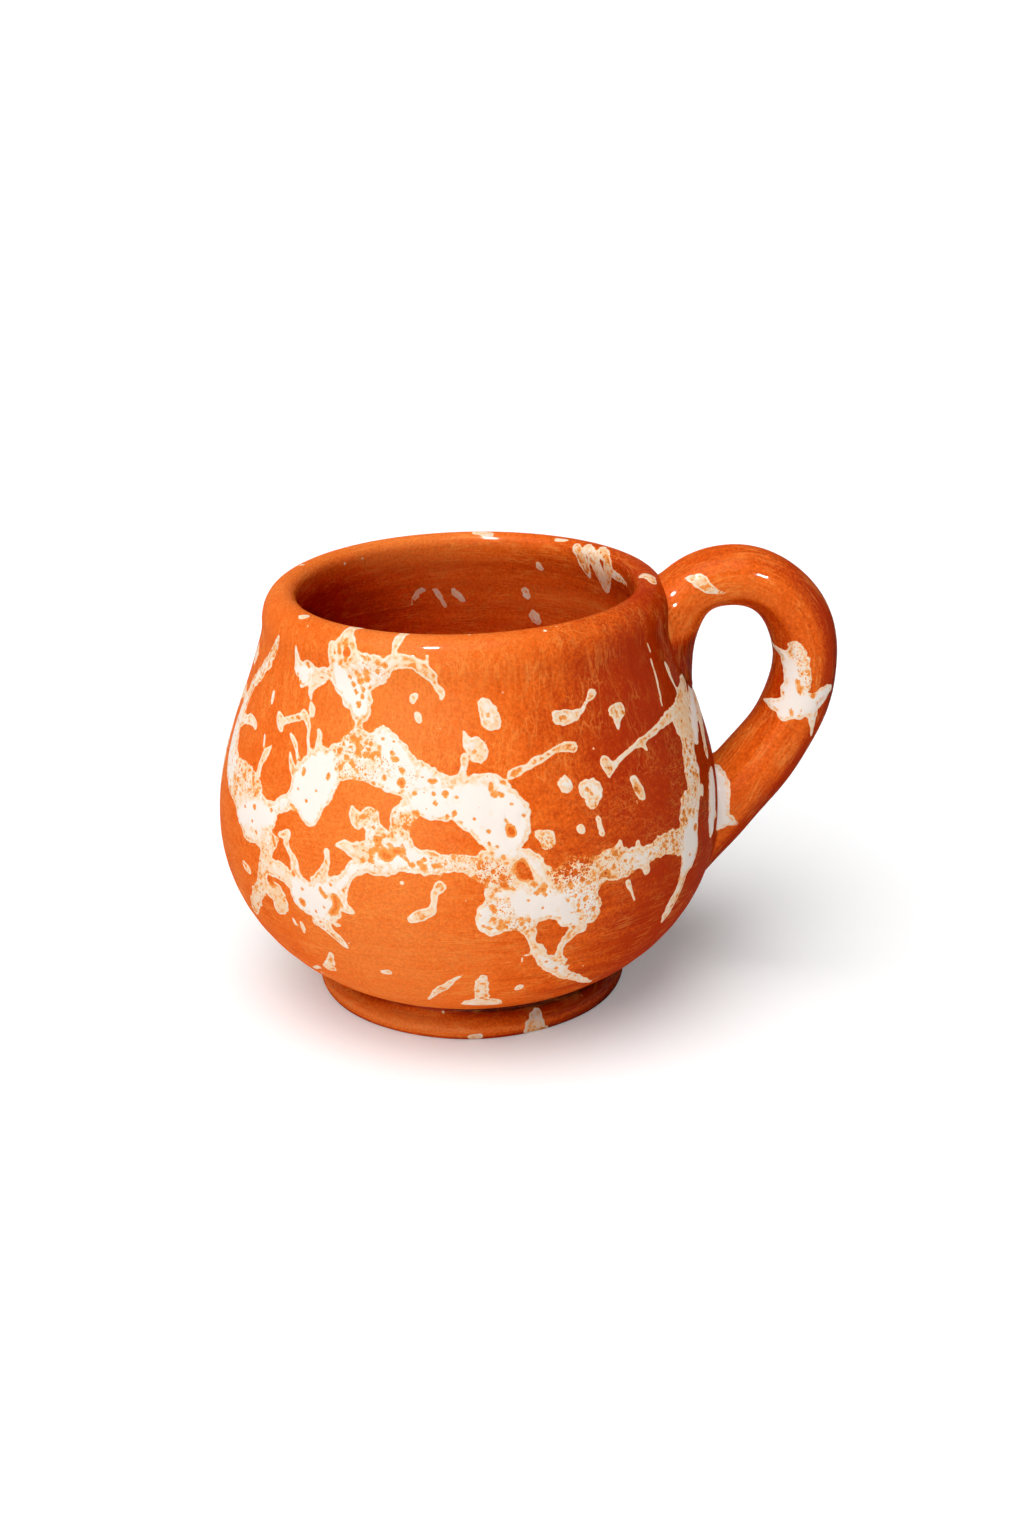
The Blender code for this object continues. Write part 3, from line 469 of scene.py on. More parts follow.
def coat(points, splashes):
    """Slip over points: depth is a half-width less the distance to its line, joined over all lines by a
    soft maximum; body, lace and half-width are means weighted the same way."""
    soft, margin, trace = 0.3, 4.0, 1e-9
    total = np.full(len(points), math.exp(BARE / soft))
    look = np.zeros((len(points), 3))
    for body, lace, line in splashes:
        places, halves = line[:, :3], line[:, 3]
        room = halves.max() + margin
        near = np.all((points > places.min(axis=0) - room) & (points < places.max(axis=0) + room), axis=1)
        start, step = places[:-1], np.diff(places, axis=0)
        offset = points[near][:, None] - start[None]
        length = np.maximum(np.einsum("jk,jk->j", step, step), trace)
        share = np.clip(np.einsum("ijk,jk->ij", offset, step) / length, 0, 1)
        half = halves[:-1] + share * np.diff(halves)
        deep = half - np.linalg.norm(offset - share[:, :, None] * step, axis=2)
        best = deep.argmax(axis=1)[:, None]
        weight = np.exp(np.take_along_axis(deep, best, axis=1)[:, 0] / soft)
        total[near] += weight
        widths = np.take_along_axis(half, best, axis=1)[:, 0]
        look[near] += weight[:, None] * np.stack([0 * widths + body, 0 * widths + lace, widths], axis=1)
    return soft * np.log(total), look / total[:, None]


def bubbles_seen(points, normals, bubbles):
    """How deep each point lies in the burst bubbles, each laid on the point nearest to its pixel."""
    lines = [(0, 0, *np.reshape(bubble, (-1, 3))) for bubble in bubbles]
    return coat(points, splashes_seen(points, normals, lines, BUBBLE_BLUR))[0]


bowl_points = bowl_rings.reshape(-1, 3)
bowl_facing = bowl_normals.reshape(-1, 3)
belly_splashes = splashes_seen(bowl_points, bowl_facing, BELLY_SPLASHES)
bowl_bubbles = bubbles_seen(bowl_points, bowl_facing, BELLY_BUBBLES)

# The side turned away from the eye is splashed by chance in the same manner: throws that wander over the
# belly, with arms and with drops beside them. Each pair of numbers is a range to draw from.
BACK_TURNS, BACK_THROWS = (math.radians(18), math.radians(186)), 18
ANY_WAY = (0, 2 * math.pi)
THROW_HEIGHTS, THROW_TILT = (14, 54), (-0.8, 0.8)
THROW_LENGTH, THROW_HALF, THROW_BODY, THROW_LACE = (16, 38), (1.6, 3.6), (0.6, 1.0), (0.1, 0.8)
ARMS, ARM_LENGTH, ARM_HALF, ARM_BODY, ARM_LACE = 3, (6, 16), (0.7, 1.5), (0.4, 0.7), (0.3, 0.9)
DROPS, DROP_LENGTH, DROP_HALF, DROP_BODY, DROP_LACE = 3, (0.6, 3.0), (0.5, 1.6), (0.4, 0.7), 0.2
DROP_TURN, DROP_CLIMB, DROP_LOWEST, DROP_HIGHEST = 0.25, 8, 9, 58
draw = np.random.default_rng(11)
wall = outside[outside[:, 0] >= BASE_RADIUS]


def thrown(start, way, length, half):
    """A splash on the outer wall, and its middle: a wandering line of angle and height, as wide in its middle
    as said, with its width a half wave along it."""
    steps, wander, uneven, narrowest = 6, 0.45, (0.6, 1.25), 0.35
    lowest, highest = base_height + 2, NECK_HEIGHT + 4
    bends = way + np.cumsum(draw.normal(0, wander, steps))
    across = start[0] + np.cumsum(np.cos(bends)) * length / steps / belly_radius
    climb = np.clip(start[1] + np.cumsum(np.sin(bends)) * length / steps, lowest, highest)
    widths = half * np.sin(np.linspace(0.25, 2.7, steps)) * draw.uniform(*uneven, steps)
    line = smooth_line(np.stack([across, climb, np.maximum(widths, narrowest)], axis=1))
    reach = np.interp(line[:, 1], wall[::-1, 1], wall[::-1, 0])
    places = [axis_x + reach * np.cos(line[:, 0]), reach * np.sin(line[:, 0]), line[:, 1], line[:, 2]]
    return np.stack(places, axis=1), line[len(line) // 2, :2]


back_splashes = []
for throw in range(BACK_THROWS):
    start = (draw.uniform(*BACK_TURNS), draw.uniform(*THROW_HEIGHTS))
    way = draw.uniform(*THROW_TILT) + math.pi * draw.integers(0, 2)
    line, middle = thrown(start, way, draw.uniform(*THROW_LENGTH), draw.uniform(*THROW_HALF))
    back_splashes.append((draw.uniform(*THROW_BODY), draw.uniform(*THROW_LACE), line))
    for arm in range(ARMS):
        way = draw.uniform(*ANY_WAY)
        line, _ = thrown(middle, way, draw.uniform(*ARM_LENGTH), draw.uniform(*ARM_HALF))
        back_splashes.append((draw.uniform(*ARM_BODY), draw.uniform(*ARM_LACE), line))
    for drop in range(DROPS):
        turn, climb = middle[0] + draw.normal(0, DROP_TURN), middle[1] + draw.normal(0, DROP_CLIMB)
        beside = (turn, np.clip(climb, DROP_LOWEST, DROP_HIGHEST))
        way = draw.uniform(*ANY_WAY)
        line, _ = thrown(beside, way, draw.uniform(*DROP_LENGTH), draw.uniform(*DROP_HALF))
        back_splashes.append((draw.uniform(*DROP_BODY), DROP_LACE, line))

# The slip stands up from the clay by less than a tenth of a millimetre, and the bowl's skin is closed by a
# fan in the middle of its floor and another under its base.
SLIP_RELIEF, RELIEF_DEPTHS = 0.09, (-0.27, 0.63)


def raised(rings, normals, depth):
    """Rings moved outwards by the slip's relief, which is the square of a share of its depth."""
    relief = SLIP_RELIEF * ramp(depth, *RELIEF_DEPTHS) ** 2
    return rings + normals * relief.reshape(*rings.shape[:2], 1)


def closed_skin(name, rings, poles=None):
    """A mesh whose quads join each point to the next along and around; fans close on the two poles,
    and without poles the last ring joins the first."""
    rows, columns = rings.shape[:2]
    here = np.arange(rows * columns).reshape(rows, columns)
    beside = np.roll(here, -1, axis=1)
    points = rings.reshape(-1, 3)
    if poles is None:
        after, after_beside = np.roll(here, -1, axis=0), np.roll(beside, -1, axis=0)
        quads = np.stack([here, after, after_beside, beside], axis=2).reshape(-1, 4)
        fans = np.empty((0, 3), int)
    else:
        quads = np.stack([here[:-1], here[1:], beside[1:], beside[:-1]], axis=2).reshape(-1, 4)
        start, end = np.full((2, columns), [[len(points)], [len(points) + 1]])
        first_fan = np.stack([start, here[0], beside[0]], axis=1)
        fans = np.concatenate([first_fan, np.stack([here[-1], end, beside[-1]], axis=1)])
        points = np.concatenate([points, poles])
    corners = np.concatenate([quads.ravel(), fans.ravel()]).astype(np.int32)
    starts = np.concatenate([np.arange(len(quads)) * 4, quads.size + np.arange(len(fans)) * 3])
    mesh = bpy.data.meshes.new(name)
    mesh.vertices.add(len(points))
    mesh.vertices.foreach_set("co", (points * MM).astype(np.float32).ravel())
    mesh.loops.add(len(corners))
    mesh.loops.foreach_set("vertex_index", corners)
    mesh.polygons.add(len(starts))
    mesh.polygons.foreach_set("loop_start", starts.astype(np.int32))
    mesh.update(calc_edges=True)
    mesh.shade_smooth()
    made = bpy.data.objects.new(name, mesh)
    bpy.context.scene.collection.objects.link(made)
    return made


bowl_depth, bowl_look = coat(bowl_points, belly_splashes + back_splashes)
bowl_rings = raised(bowl_rings, bowl_normals, np.minimum(bowl_depth, -bowl_bubbles))
bowl_poles = np.array([[axis_x, 0, FLOOR_TOP], [axis_x, 0, base_height]])
bowl = closed_skin("cup_bowl", bowl_rings, bowl_poles)


# The finish is fired clay, splashed slip over it and clear glaze over both. Shader nodes work it out from the
# place on the piece, in millimetres, and from values that are kept on the points of its mesh.
class Field:
    """A value that varies over a surface. Arithmetic on it adds Math nodes to its shader tree."""

    def __init__(self, tree, socket):
        self.tree, self.socket = tree, socket

    def step(self, operation, *values):
        """The result of one Math node on fields and numbers."""
        return field(self.tree, "Math", 0, dict(enumerate(values)), operation=operation)

    def __add__(self, other):
        return self.step("ADD", self, other)

    def __sub__(self, other):
        return self.step("SUBTRACT", self, other)

    def __rsub__(self, other):
        return self.step("SUBTRACT", other, self)

    def __mul__(self, other):
        return self.step("MULTIPLY", self, other)

    def __abs__(self):
        return self.step("ABSOLUTE", self)

    __radd__, __rmul__ = __add__, __mul__


def fill(made, inputs):
    """A shader node with each input given its value, or linked to its field."""
    for name, value in inputs.items():
        if isinstance(value, Field):
            value.tree.links.new(value.socket, made.inputs[name])
        else:
            made.inputs[name].default_value = value
    return made


def node(tree, kind, inputs, **settings):
    """A new shader node with its settings made and its inputs filled."""
    made = tree.nodes.new("ShaderNode" + kind)
    for name, value in settings.items():
        setattr(made, name, value)
    return fill(made, inputs)


def field(tree, kind, output, inputs, **settings):
    """One output of a new shader node."""
    return Field(tree, node(tree, kind, inputs, **settings).outputs[output])


def most(value, *others):
    """The greatest of some fields and numbers."""
    for other in others:
        value = value.step("MAXIMUM", value, other)
    return value


def least(value, *others):
    """The least of some fields and numbers."""
    for other in others:
        value = value.step("MINIMUM", value, other)
    return value


def rise(value, low, high):
    """A share that goes smoothly from 0 at the low value to 1 at the high one."""
    inputs = {"Value": value, "From Min": low, "From Max": high}
    return field(value.tree, "MapRange", 0, inputs, interpolation_type="SMOOTHSTEP")


def blend(share, under, over):
    """A colour that goes from one to another by a share."""
    return field(share.tree, "Mix", 2, {0: share, 6: under, 7: over}, data_type="RGBA")


def cloud(place, per_mm, detail=2.0):
    """Soft noise about zero, with so many patches to the millimetre."""
    return field(place.tree, "TexNoise", 0, {"Vector": place, "Scale": per_mm, "Detail": detail}) - 0.5


def cells(place, per_mm):
    """Distance from the middle of the nearest cell, in cells, and a chance number for that cell."""
    made = node(place.tree, "TexVoronoi", {"Vector": place, "Scale": per_mm})
    chance = field(place.tree, "SeparateColor", 0, {0: Field(place.tree, made.outputs["Color"])})
    return Field(place.tree, made.outputs["Distance"]), chance


def paint(red, green, blue):
    """A colour written in screen numbers from 0 to 255, as the linear values that a shader takes."""
    share = np.array([red, green, blue]) / 255
    linear = np.where(share <= 0.04045, share / 12.92, ((share + 0.055) / 1.055) ** 2.4)
    return (*linear.tolist(), 1.0)


def group(name, **kinds):
    """A node group that puts out a colour and a height, and the fields that it is given."""
    tree = bpy.data.node_groups.new(name, "ShaderNodeTree")
    for label, kind in kinds.items():
        tree.interface.new_socket(label, in_out="INPUT", socket_type="NodeSocket" + kind)
    for label, kind in {"Color": "Color", "Height": "Float"}.items():
        tree.interface.new_socket(label, in_out="OUTPUT", socket_type="NodeSocket" + kind)
    given = tree.nodes.new("NodeGroupInput").outputs
    return tree, [Field(tree, given[label]) for label in kinds]


# Fired clay: orange where it was fired mild, brick red where it was fired hot and brown where hottest, with
# clouds, streaks and grain in its tone, pale hairlines that follow the throwing, and a few pale specks. The
# heat that it is given also carries painted shade, so much of the brick red and all of the brown are painted
# shade.
CLAY_LIGHT, CLAY_FIRED, CLAY_RED = paint(251, 134, 56), paint(246, 107, 24), paint(182, 48, 3)
CLAY_SHADE_BROWN, CLAY_HAIR, CLAY_PALE_GLINT = paint(70, 16, 2), paint(252, 160, 74), paint(252, 214, 170)
MILD, HOT, HOTTEST = (-0.2, 0.6), (0.3, 1.1), (1.05, 1.9)
CLOUD, CLOUD_PER_MM = 0.5, 0.07
STREAK, STREAK_PER_MM = 0.55, 0.7
GRAIN, GRAIN_PER_MM = 0.8, 2.3
WEAVE, WEAVE_PER_MM, WEAVE_ALONG, WEAVE_ALONG_PER_MM = 0.26, 2.6, 0.4, 2.4
HAIR, HAIR_LOST, HAIR_HOT, HAIR_PATCH_PER_MM = 0.46, 0.18, (0.4, 1.1), 0.22
# Each kind of hairline has a strength, a count to the millimetre, a width and a detail.
HAIRLINES = ((1.0, 0.36, 0.02, 2.0), (1.0, 0.6, 0.025, 2.0), (0.8, 1.1, 0.03, 1.0))
SPECK, SPECK_PER_MM, SPECK_RARE, SPECK_GROWTH, SPECK_SOFT = 0.6, 0.4, 0.86, 0.6, 0.03
PATCHY = (-0.2, 0.2)
SKIN_WAVE, SKIN_WAVE_PER_MM, SKIN_STREAK = 0.04, 0.3, 0.012

clay, (place, lay, kiln) = group("fired_clay", Place="Vector", Lay="Vector", Heat="Float")
streaks = cloud(lay, STREAK_PER_MM, 3.0)
tone = CLOUD * cloud(place, CLOUD_PER_MM, 3.0) + STREAK * streaks + GRAIN * cloud(place, GRAIN_PER_MM)
# The heat holds painted shade as well as the colour of the firing.
heat = kiln - tone
colour = blend(rise(heat, *MILD), CLAY_LIGHT, CLAY_FIRED)
colour = blend(rise(heat, *HOT), colour, CLAY_RED)
colour = blend(rise(heat, *HOTTEST), colour, CLAY_SHADE_BROWN)
weave = WEAVE_ALONG * cloud(lay, WEAVE_ALONG_PER_MM) + cloud(place, WEAVE_PER_MM)
colour = blend(WEAVE * rise(weave, *PATCHY), colour, CLAY_RED)
hair = most(*(
    strength * rise(abs(cloud(lay, per_mm, detail)), width, 0.0)
    for strength, per_mm, width, detail in HAIRLINES
))
hair = hair * rise(cloud(place, HAIR_PATCH_PER_MM), *PATCHY) * (HAIR - HAIR_LOST * rise(kiln, *HAIR_HOT))
colour = blend(hair, colour, CLAY_HAIR)
# The pale specks are painted pin-prick highlights of the glaze.
speck, chance = cells(place, SPECK_PER_MM)
speck = rise(SPECK_GROWTH * (chance - SPECK_RARE) - speck, 0.0, SPECK_SOFT)
colour = blend(SPECK * speck, colour, CLAY_PALE_GLINT)
skin = SKIN_WAVE * cloud(place, SKIN_WAVE_PER_MM) + SKIN_STREAK * streaks
fill(clay.nodes.new("NodeGroupOutput"), {"Color": colour, "Height": skin})

# Splashed slip: white where it lies thick, cream and peach where it thins, with bubbly edges, pinholes, and
# lace where it foamed. Depth is how far inside the splash a point is, in millimetres.
SLIP_WHITE, SLIP_CREAM, SLIP_AMBER = paint(251, 238, 228), paint(250, 212, 168), paint(247, 158, 72)
AMBER_LAID, CREAM_LAID, WHITE_LAID = (0.0, 0.24), (0.14, 0.5), (0.42, 0.92)
DRIFT, DRIFT_PER_MM = 0.9, 1.1
SWING, MOST_SWING = 0.5, 0.7
EDGE_WAVE_PER_MM, EDGE_BUBBLE_PER_MM, EDGE_GRAIN_PER_MM = 0.6, 0.95, 2.6
FOAM_PER_MM, PIN_PER_MM, NET_PER_MM, FROTH_PER_MM = 0.3, 0.5, 1.05, 3.3
MOTTLE_PER_MM, WASH_PER_MM, THIN_PER_MM = 1.7, 0.55, 0.8
SLIP_HEIGHT = 0.06

slip, (under, place, depth, bubbles, look) = group(
    "splashed_slip", Clay="Color", Place="Vector", Depth="Float", Bubbles="Float", Look="Vector"
)
body, lace, half = (Field(slip, part) for part in node(slip, "SeparateXYZ", {0: look}).outputs)
drift = field(slip, "TexNoise", "Color", {"Vector": place, "Scale": DRIFT_PER_MM, "Detail": 2.0})
drift = field(slip, "VectorMath", 0, {0: drift, 1: (0.5,) * 3}, operation="SUBTRACT")
stirred = field(slip, "VectorMath", 0, {0: drift, 1: (DRIFT,) * 3, 2: place}, operation="MULTIPLY_ADD")

# The edge swings in and out by waves, rounded bubbles and grain, less on a narrow splash.
edge_bubble, _ = cells(place, EDGE_BUBBLE_PER_MM)
ragged = 0.9 * cloud(place, EDGE_WAVE_PER_MM, 1.0) + 0.7 * (0.44 - edge_bubble)
ragged = ragged + 0.2 * cloud(place, EDGE_GRAIN_PER_MM)
depth = depth + ragged * least(SWING * half, MOST_SWING)

# Holes: rare pinholes, the wide meshes and fine froth of the lace, and the burst bubbles. Each edge is below
# zero inside its hole.
foam = rise(lace + 0.7 * cloud(place, FOAM_PER_MM), 0.12, 0.85)
pin, chance = cells(stirred, PIN_PER_MM)
pin_edge = 2.0 * (pin - 0.3 * (0.4 * lace + (chance - 0.86)))
net, chance = cells(stirred, NET_PER_MM)
net_edge = net - foam * (0.4 * chance + 0.06)
froth, chance = cells(stirred, FROTH_PER_MM)
froth_edge = 0.5 * (froth - rise(foam, 0.2, 0.9) * (0.4 * chance + 0.08))
foam_edge = least(net_edge, froth_edge) + 0.3 * rise(foam, 0.12, 0.0)
mottle = cloud(place, MOTTLE_PER_MM, 3.0)
burst_edge = 0.4 * mottle - bubbles
fade = rise(lace - body, 0.3, 0.85)
hole = rise(least(pin_edge, burst_edge, foam_edge) - 0.1 * fade, 0.1, -0.07)

# How much slip is laid: a raised bank round the edge, a thick middle, a wash of uneven thickness over the
# rest and thin places in the lace. A hole keeps a film, and an open bubble none.
bank = rise(depth, 0.0, 0.12) - rise(depth, 0.2, 0.55)
thick = body * rise(0.8 * mottle + depth, 0.1, 0.95)
wash = (0.7 * mottle + cloud(place, WASH_PER_MM)) * rise(depth, 0.08, 0.4)
thin = rise(cloud(stirred, THIN_PER_MM, 3.0), 0.0, 0.2) * rise(depth, 0.1, 0.4)
laid = 0.24 + 0.4 * bank + 0.8 * thick + wash * (1.0 - 0.55 * thick) - thin * (0.6 * lace + 0.12)
laid = (0.25 * fade + most(laid, 0.12)) * rise(depth, -0.05, 1.3 * fade + 0.1)
film = least(laid, 0.4 * mottle + 0.19) * rise(bubbles, 0.5, 0.2) * (1.0 - 0.9 * fade)
laid = field(slip, "Mix", 0, {0: hole, 2: laid, 3: film})
colour = blend(rise(laid, *AMBER_LAID), under, SLIP_AMBER)
colour = blend(rise(laid, *CREAM_LAID), colour, SLIP_CREAM)
colour = blend(rise(laid, *WHITE_LAID), colour, SLIP_WHITE)
fill(slip.nodes.new("NodeGroupOutput"), {"Color": colour, "Height": SLIP_HEIGHT * laid})

# The glaze: a thin clear coat, which shines less where it is seen aslant. Light that the clay gives back to
# what is round it is held to the share called bounce, because the table by the cup stays nearly white.
GLAZE_ROUGHNESS, GLAZE_SHINE = 0.45, 0.0
COAT, COAT_LOST, ASLANT, COAT_ROUGHNESS, COAT_BEND = 0.15, 0.11, (0.2, 0.6), 0.06, 1.35
OUTER_BOUNCE, INNER_BOUNCE = 0.7, 1.0


def glazed(made, **coatings):
    """The finish of a piece: each coating is a value or a vector for each of its points, with none at its
    poles, and its material reads them all."""
    mesh = made.data
    material = bpy.data.materials.new(made.name + "_glaze")
    material.use_nodes = True
    tree = material.node_tree
    read = {}
    for name, values in coatings.items():
        is_vector = values.ndim == 2
        at_poles = np.zeros((len(mesh.vertices) - len(values), *values.shape[1:]))
        values = np.concatenate([values, at_poles]).astype(np.float32)
        attribute = mesh.attributes.new(name, "FLOAT_VECTOR" if is_vector else "FLOAT", "POINT")
        attribute.data.foreach_set("vector" if is_vector else "value", values.ravel())
        read[name] = field(tree, "Attribute", "Vector" if is_vector else "Fac", {}, attribute_name=name)
    place = field(tree, "TexCoord", "Object", {})
    place = field(tree, "VectorMath", 0, {0: place, 1: (1 / MM,) * 3}, operation="MULTIPLY")
    # The heat attribute holds the firing colour with painted shade added.
    clay_inputs = {"Place": place, "Lay": read["lay"], "Heat": read["kiln_heat"]}
    clay_made = node(tree, "Group", clay_inputs, node_tree=clay).outputs
    slip_inputs = {"Clay": Field(tree, clay_made["Color"]), "Place": place, "Depth": read["slip_depth"]}
    slip_inputs |= {"Bubbles": read["slip_bubbles"], "Look": read["slip_look"]}
    slip_made = node(tree, "Group", slip_inputs, node_tree=slip).outputs
    height = Field(tree, clay_made["Height"]) + Field(tree, slip_made["Height"])
    normal = field(tree, "Bump", "Normal", {"Strength": 1.0, "Distance": MM, "Height": height})
    kept = 1.0 - field(tree, "LightPath", "Is Diffuse Ray", {}) * (1.0 - read["bounce"])
    slip_colour = {0: Field(tree, slip_made["Color"]), "Scale": kept}
    aslant = rise(field(tree, "LayerWeight", "Facing", {"Blend": 0.5}), *ASLANT)
    fill(tree.nodes["Principled BSDF"], {
        "Base Color": field(tree, "VectorMath", 0, slip_colour, operation="SCALE"),
        "Normal": normal,
        "Roughness": GLAZE_ROUGHNESS,
        "Specular IOR Level": GLAZE_SHINE,
        "Coat Weight": COAT - COAT_LOST * aslant,
        "Coat Normal": normal,
        "Coat Roughness": COAT_ROUGHNESS,
        "Coat IOR": COAT_BEND,
    })
    mesh.materials.append(material)


# The heat on the bowl, and the lay of the throwing, which squeezes the clay's streaks along it: round
# the low belly, upright where the neck was drawn up, and round the inside. Much of the heat is painted shade:
# the clay is painted darker towards the handle, the side turned from the lamp, and darkest on the inner face
# of the left wall, which the lip keeps from the lamp; the heat and its shade are eased on the lip.
PLAIN_HEAT, SIDE_SHADE_SLOPE, MOST_SIDE_HEAT_AND_SHADE = 0.3, 1.05, 1.25
FAR_HEAT, FAR_TURN = 0.3, (0.45, 0.75)
INSIDE_HEAT, INSIDE_FAR_SHADE, HEAT_DEPTH = 0.4, 1.7, 10.0
LIP_SHADE_EASED, LIP_FADE = 0.3, 4.0
SQUEEZE, DRAWN_UP = 0.12, (22, 44)


def side_heat_and_shade(points):
    """Share of firing colour and painted shade: it grows with the sine of the turn from the cup's front
    towards its handle, as shade on the side turned from the lamp, and some is added on the side far from the
    handle."""
    offset = points - [axis_x, 0, 0]
    turn = offset[:, 0] / np.maximum(np.hypot(offset[:, 0], offset[:, 1]), 1)
    return np.clip(PLAIN_HEAT + SIDE_SHADE_SLOPE * turn, 0, MOST_SIDE_HEAT_AND_SHADE) + FAR_HEAT * ramp(-turn, *FAR_TURN)


on_outside = np.repeat(is_outside, BOWL_COLUMNS)
upright = (1 - SQUEEZE) * ramp(bowl_points[:, 2], *DRAWN_UP) * on_outside
wall_run = np.concatenate([[0], np.cumsum(np.linalg.norm(np.diff(profile, axis=0), axis=1))])
climb = np.where(is_outside, bowl_rings[:, :, 2], wall_run[:, None]).ravel()
lay_scale = np.stack([SQUEEZE + upright, SQUEEZE + upright, 1 - upright], axis=1)
bowl_lay = lay_scale * np.stack([bowl_points[:, 0] - axis_x, bowl_points[:, 1], climb], axis=1)
sunk = ramp(bowl_points[:, 2], cup_height, cup_height - HEAT_DEPTH) * ~on_outside
# Painted shade inside: the inner face of the left wall, which the lip keeps from the lamp, is painted
# darkest.
inside_left_shade = ramp(bowl_points[:, 0], axis_x, axis_x - MOUTH_RADIUS) ** 2
inside_heat_and_shade = INSIDE_HEAT + (INSIDE_FAR_SHADE - INSIDE_HEAT) * inside_left_shade
bowl_heat_and_shade = side_heat_and_shade(bowl_points) * (1 - sunk) + inside_heat_and_shade * sunk
bowl_heat_and_shade *= 1 - LIP_SHADE_EASED * ramp(bowl_points[:, 2], LIP_HEIGHT, LIP_HEIGHT + LIP_FADE)
glazed(
    bowl,
    slip_depth=bowl_depth,
    slip_bubbles=bowl_bubbles,
    slip_look=bowl_look,
    lay=bowl_lay,
    kiln_heat=bowl_heat_and_shade,
    bounce=np.where(on_outside, OUTER_BOUNCE, INNER_BOUNCE),
)
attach(bowl, "root")
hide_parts("cup_body")

# The foot is a low ring of the same clay, turned to a flare and luted under the bowl. It is painted darker as
# shade in the groove below the bowl, most on the handle's side, with a painted contact shadow where it stands
# and the bowl's painted side shade, and it is paler on its edge, where the glaze runs thin.
FOOT_EDGE_HEIGHT, FOOT_EDGE_SLOPE, FOOT_WAIST = 1.4, 12, (22.0, 4.3)
FOOT_FLAT_IN, FOOT_FLAT_OUT, FOOT_RECESS = 18.7, 23.7, 18.0
FOOT_TOP_RADIUS, FOOT_TOP_SLOPE, FOOT_SINK = 23.2, 40, 0.5
FOOT_COLUMNS = 384
FOOT_WOBBLE, FOOT_PHASE, FOOT_RIPPLE, WOBBLE_FADE = 0.08, 0.4, 0.05, 2.0
FOOT_HEAT, EDGE_HEAT, EDGE_PALE, EDGE_HALF = 0.05, -0.5, 1.6, 0.4
GROOVE_SHADE, GROOVE_SIDE_SHADE, GROOVE_RISE = 1.2, 1.44, (2.5, 3.9)
CONTACT_SHADOW, CONTACT_FADE = 0.6, (0.8, 0.5)
FOOT_SPLASHES = [
    (0.6, 0.1, (537, 1012, 0.8), (536, 1019, 1.2)), (0.5, 0.1, (530, 1025, 0.8), (540, 1024, 0.8)),
    (0.5, 0.1, (526, 1031, 0.5), (537, 1030, 0.5), (546, 1029, 0.5)),
    (0.5, 0.1, (470, 1037, 0.5), (480, 1036, 0.5)), (0.4, 0.1, (582, 996, 0.3)),
    (0.4, 0.1, (588, 1004, 0.25)), (0.3, 0.0, (443, 1012, 0.35)),
]

foot_low, foot_high = (np.array(corner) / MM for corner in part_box("foot_ring"))
foot_radius = (foot_high[1] - foot_low[1]) / 2
foot_top = base_height + FOOT_SINK
foot_profile = outline(
    (FOOT_RECESS, foot_top), OUT,
    ((FOOT_TOP_RADIUS, foot_top), OUT, EASY_ARM, 5),
    (FOOT_WAIST, DOWN, EASY_ARM, 7, DOWN - FOOT_TOP_SLOPE),
    ((foot_radius, FOOT_EDGE_HEIGHT), DOWN + FOOT_EDGE_SLOPE, EASY_ARM, 10),
    ((FOOT_FLAT_OUT, 0), IN, ROUND_ARM, 7, DOWN),
    ((FOOT_FLAT_IN, 0), IN, EASY_ARM, 8),
    ((FOOT_RECESS, FOOT_FLAT_IN - FOOT_RECESS), UP, ROUND_ARM, 5),
    ((FOOT_RECESS, foot_top), UP, EASY_ARM, 8),
)
foot_turns = np.arange(FOOT_COLUMNS) / FOOT_COLUMNS * 2 * math.pi
foot_wobble = FOOT_WOBBLE * np.sin(3 * foot_turns + FOOT_PHASE) + FOOT_RIPPLE * np.sin(7 * foot_turns)
foot_wobble = foot_wobble * ramp(foot_profile[:, 1:], FOOT_EDGE_HEIGHT + WOBBLE_FADE, FOOT_EDGE_HEIGHT)
foot_rings = turned(foot_profile[:, :1] + foot_wobble, foot_turns, foot_profile[:, 1:])
foot = closed_skin("foot", foot_rings)

foot_points = foot_rings.reshape(-1, 3)
foot_facing = ring_normals(foot_rings).reshape(-1, 3)
foot_depth, foot_look = coat(foot_points, splashes_seen(foot_points, foot_facing, FOOT_SPLASHES))
# Painted shade in the groove under the bowl's belly, and a painted contact shadow at the foot's bottom.
groove = ramp(foot_points[:, 2], *GROOVE_RISE) ** 2
edge = ramp(np.abs(foot_points[:, 2] - EDGE_PALE), EDGE_HALF, 0)
contact = ramp(foot_points[:, 2], *CONTACT_FADE)
foot_heat_and_shade = FOOT_HEAT + side_heat_and_shade(foot_points) + EDGE_HEAT * edge + CONTACT_SHADOW * contact
foot_heat_and_shade += groove * (GROOVE_SHADE + GROOVE_SIDE_SHADE * side_heat_and_shade(foot_points))
glazed(
    foot,
    slip_depth=foot_depth,
    slip_bubbles=np.full_like(foot_depth, BARE),
    slip_look=foot_look,
    lay=(foot_points - [axis_x, 0, 0]) * [SQUEEZE, SQUEEZE, 1],
    kiln_heat=foot_heat_and_shade,
    bounce=np.full_like(foot_depth, OUTER_BOUNCE),
)
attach(foot, "root")
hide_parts("foot_ring", "foot_luting")

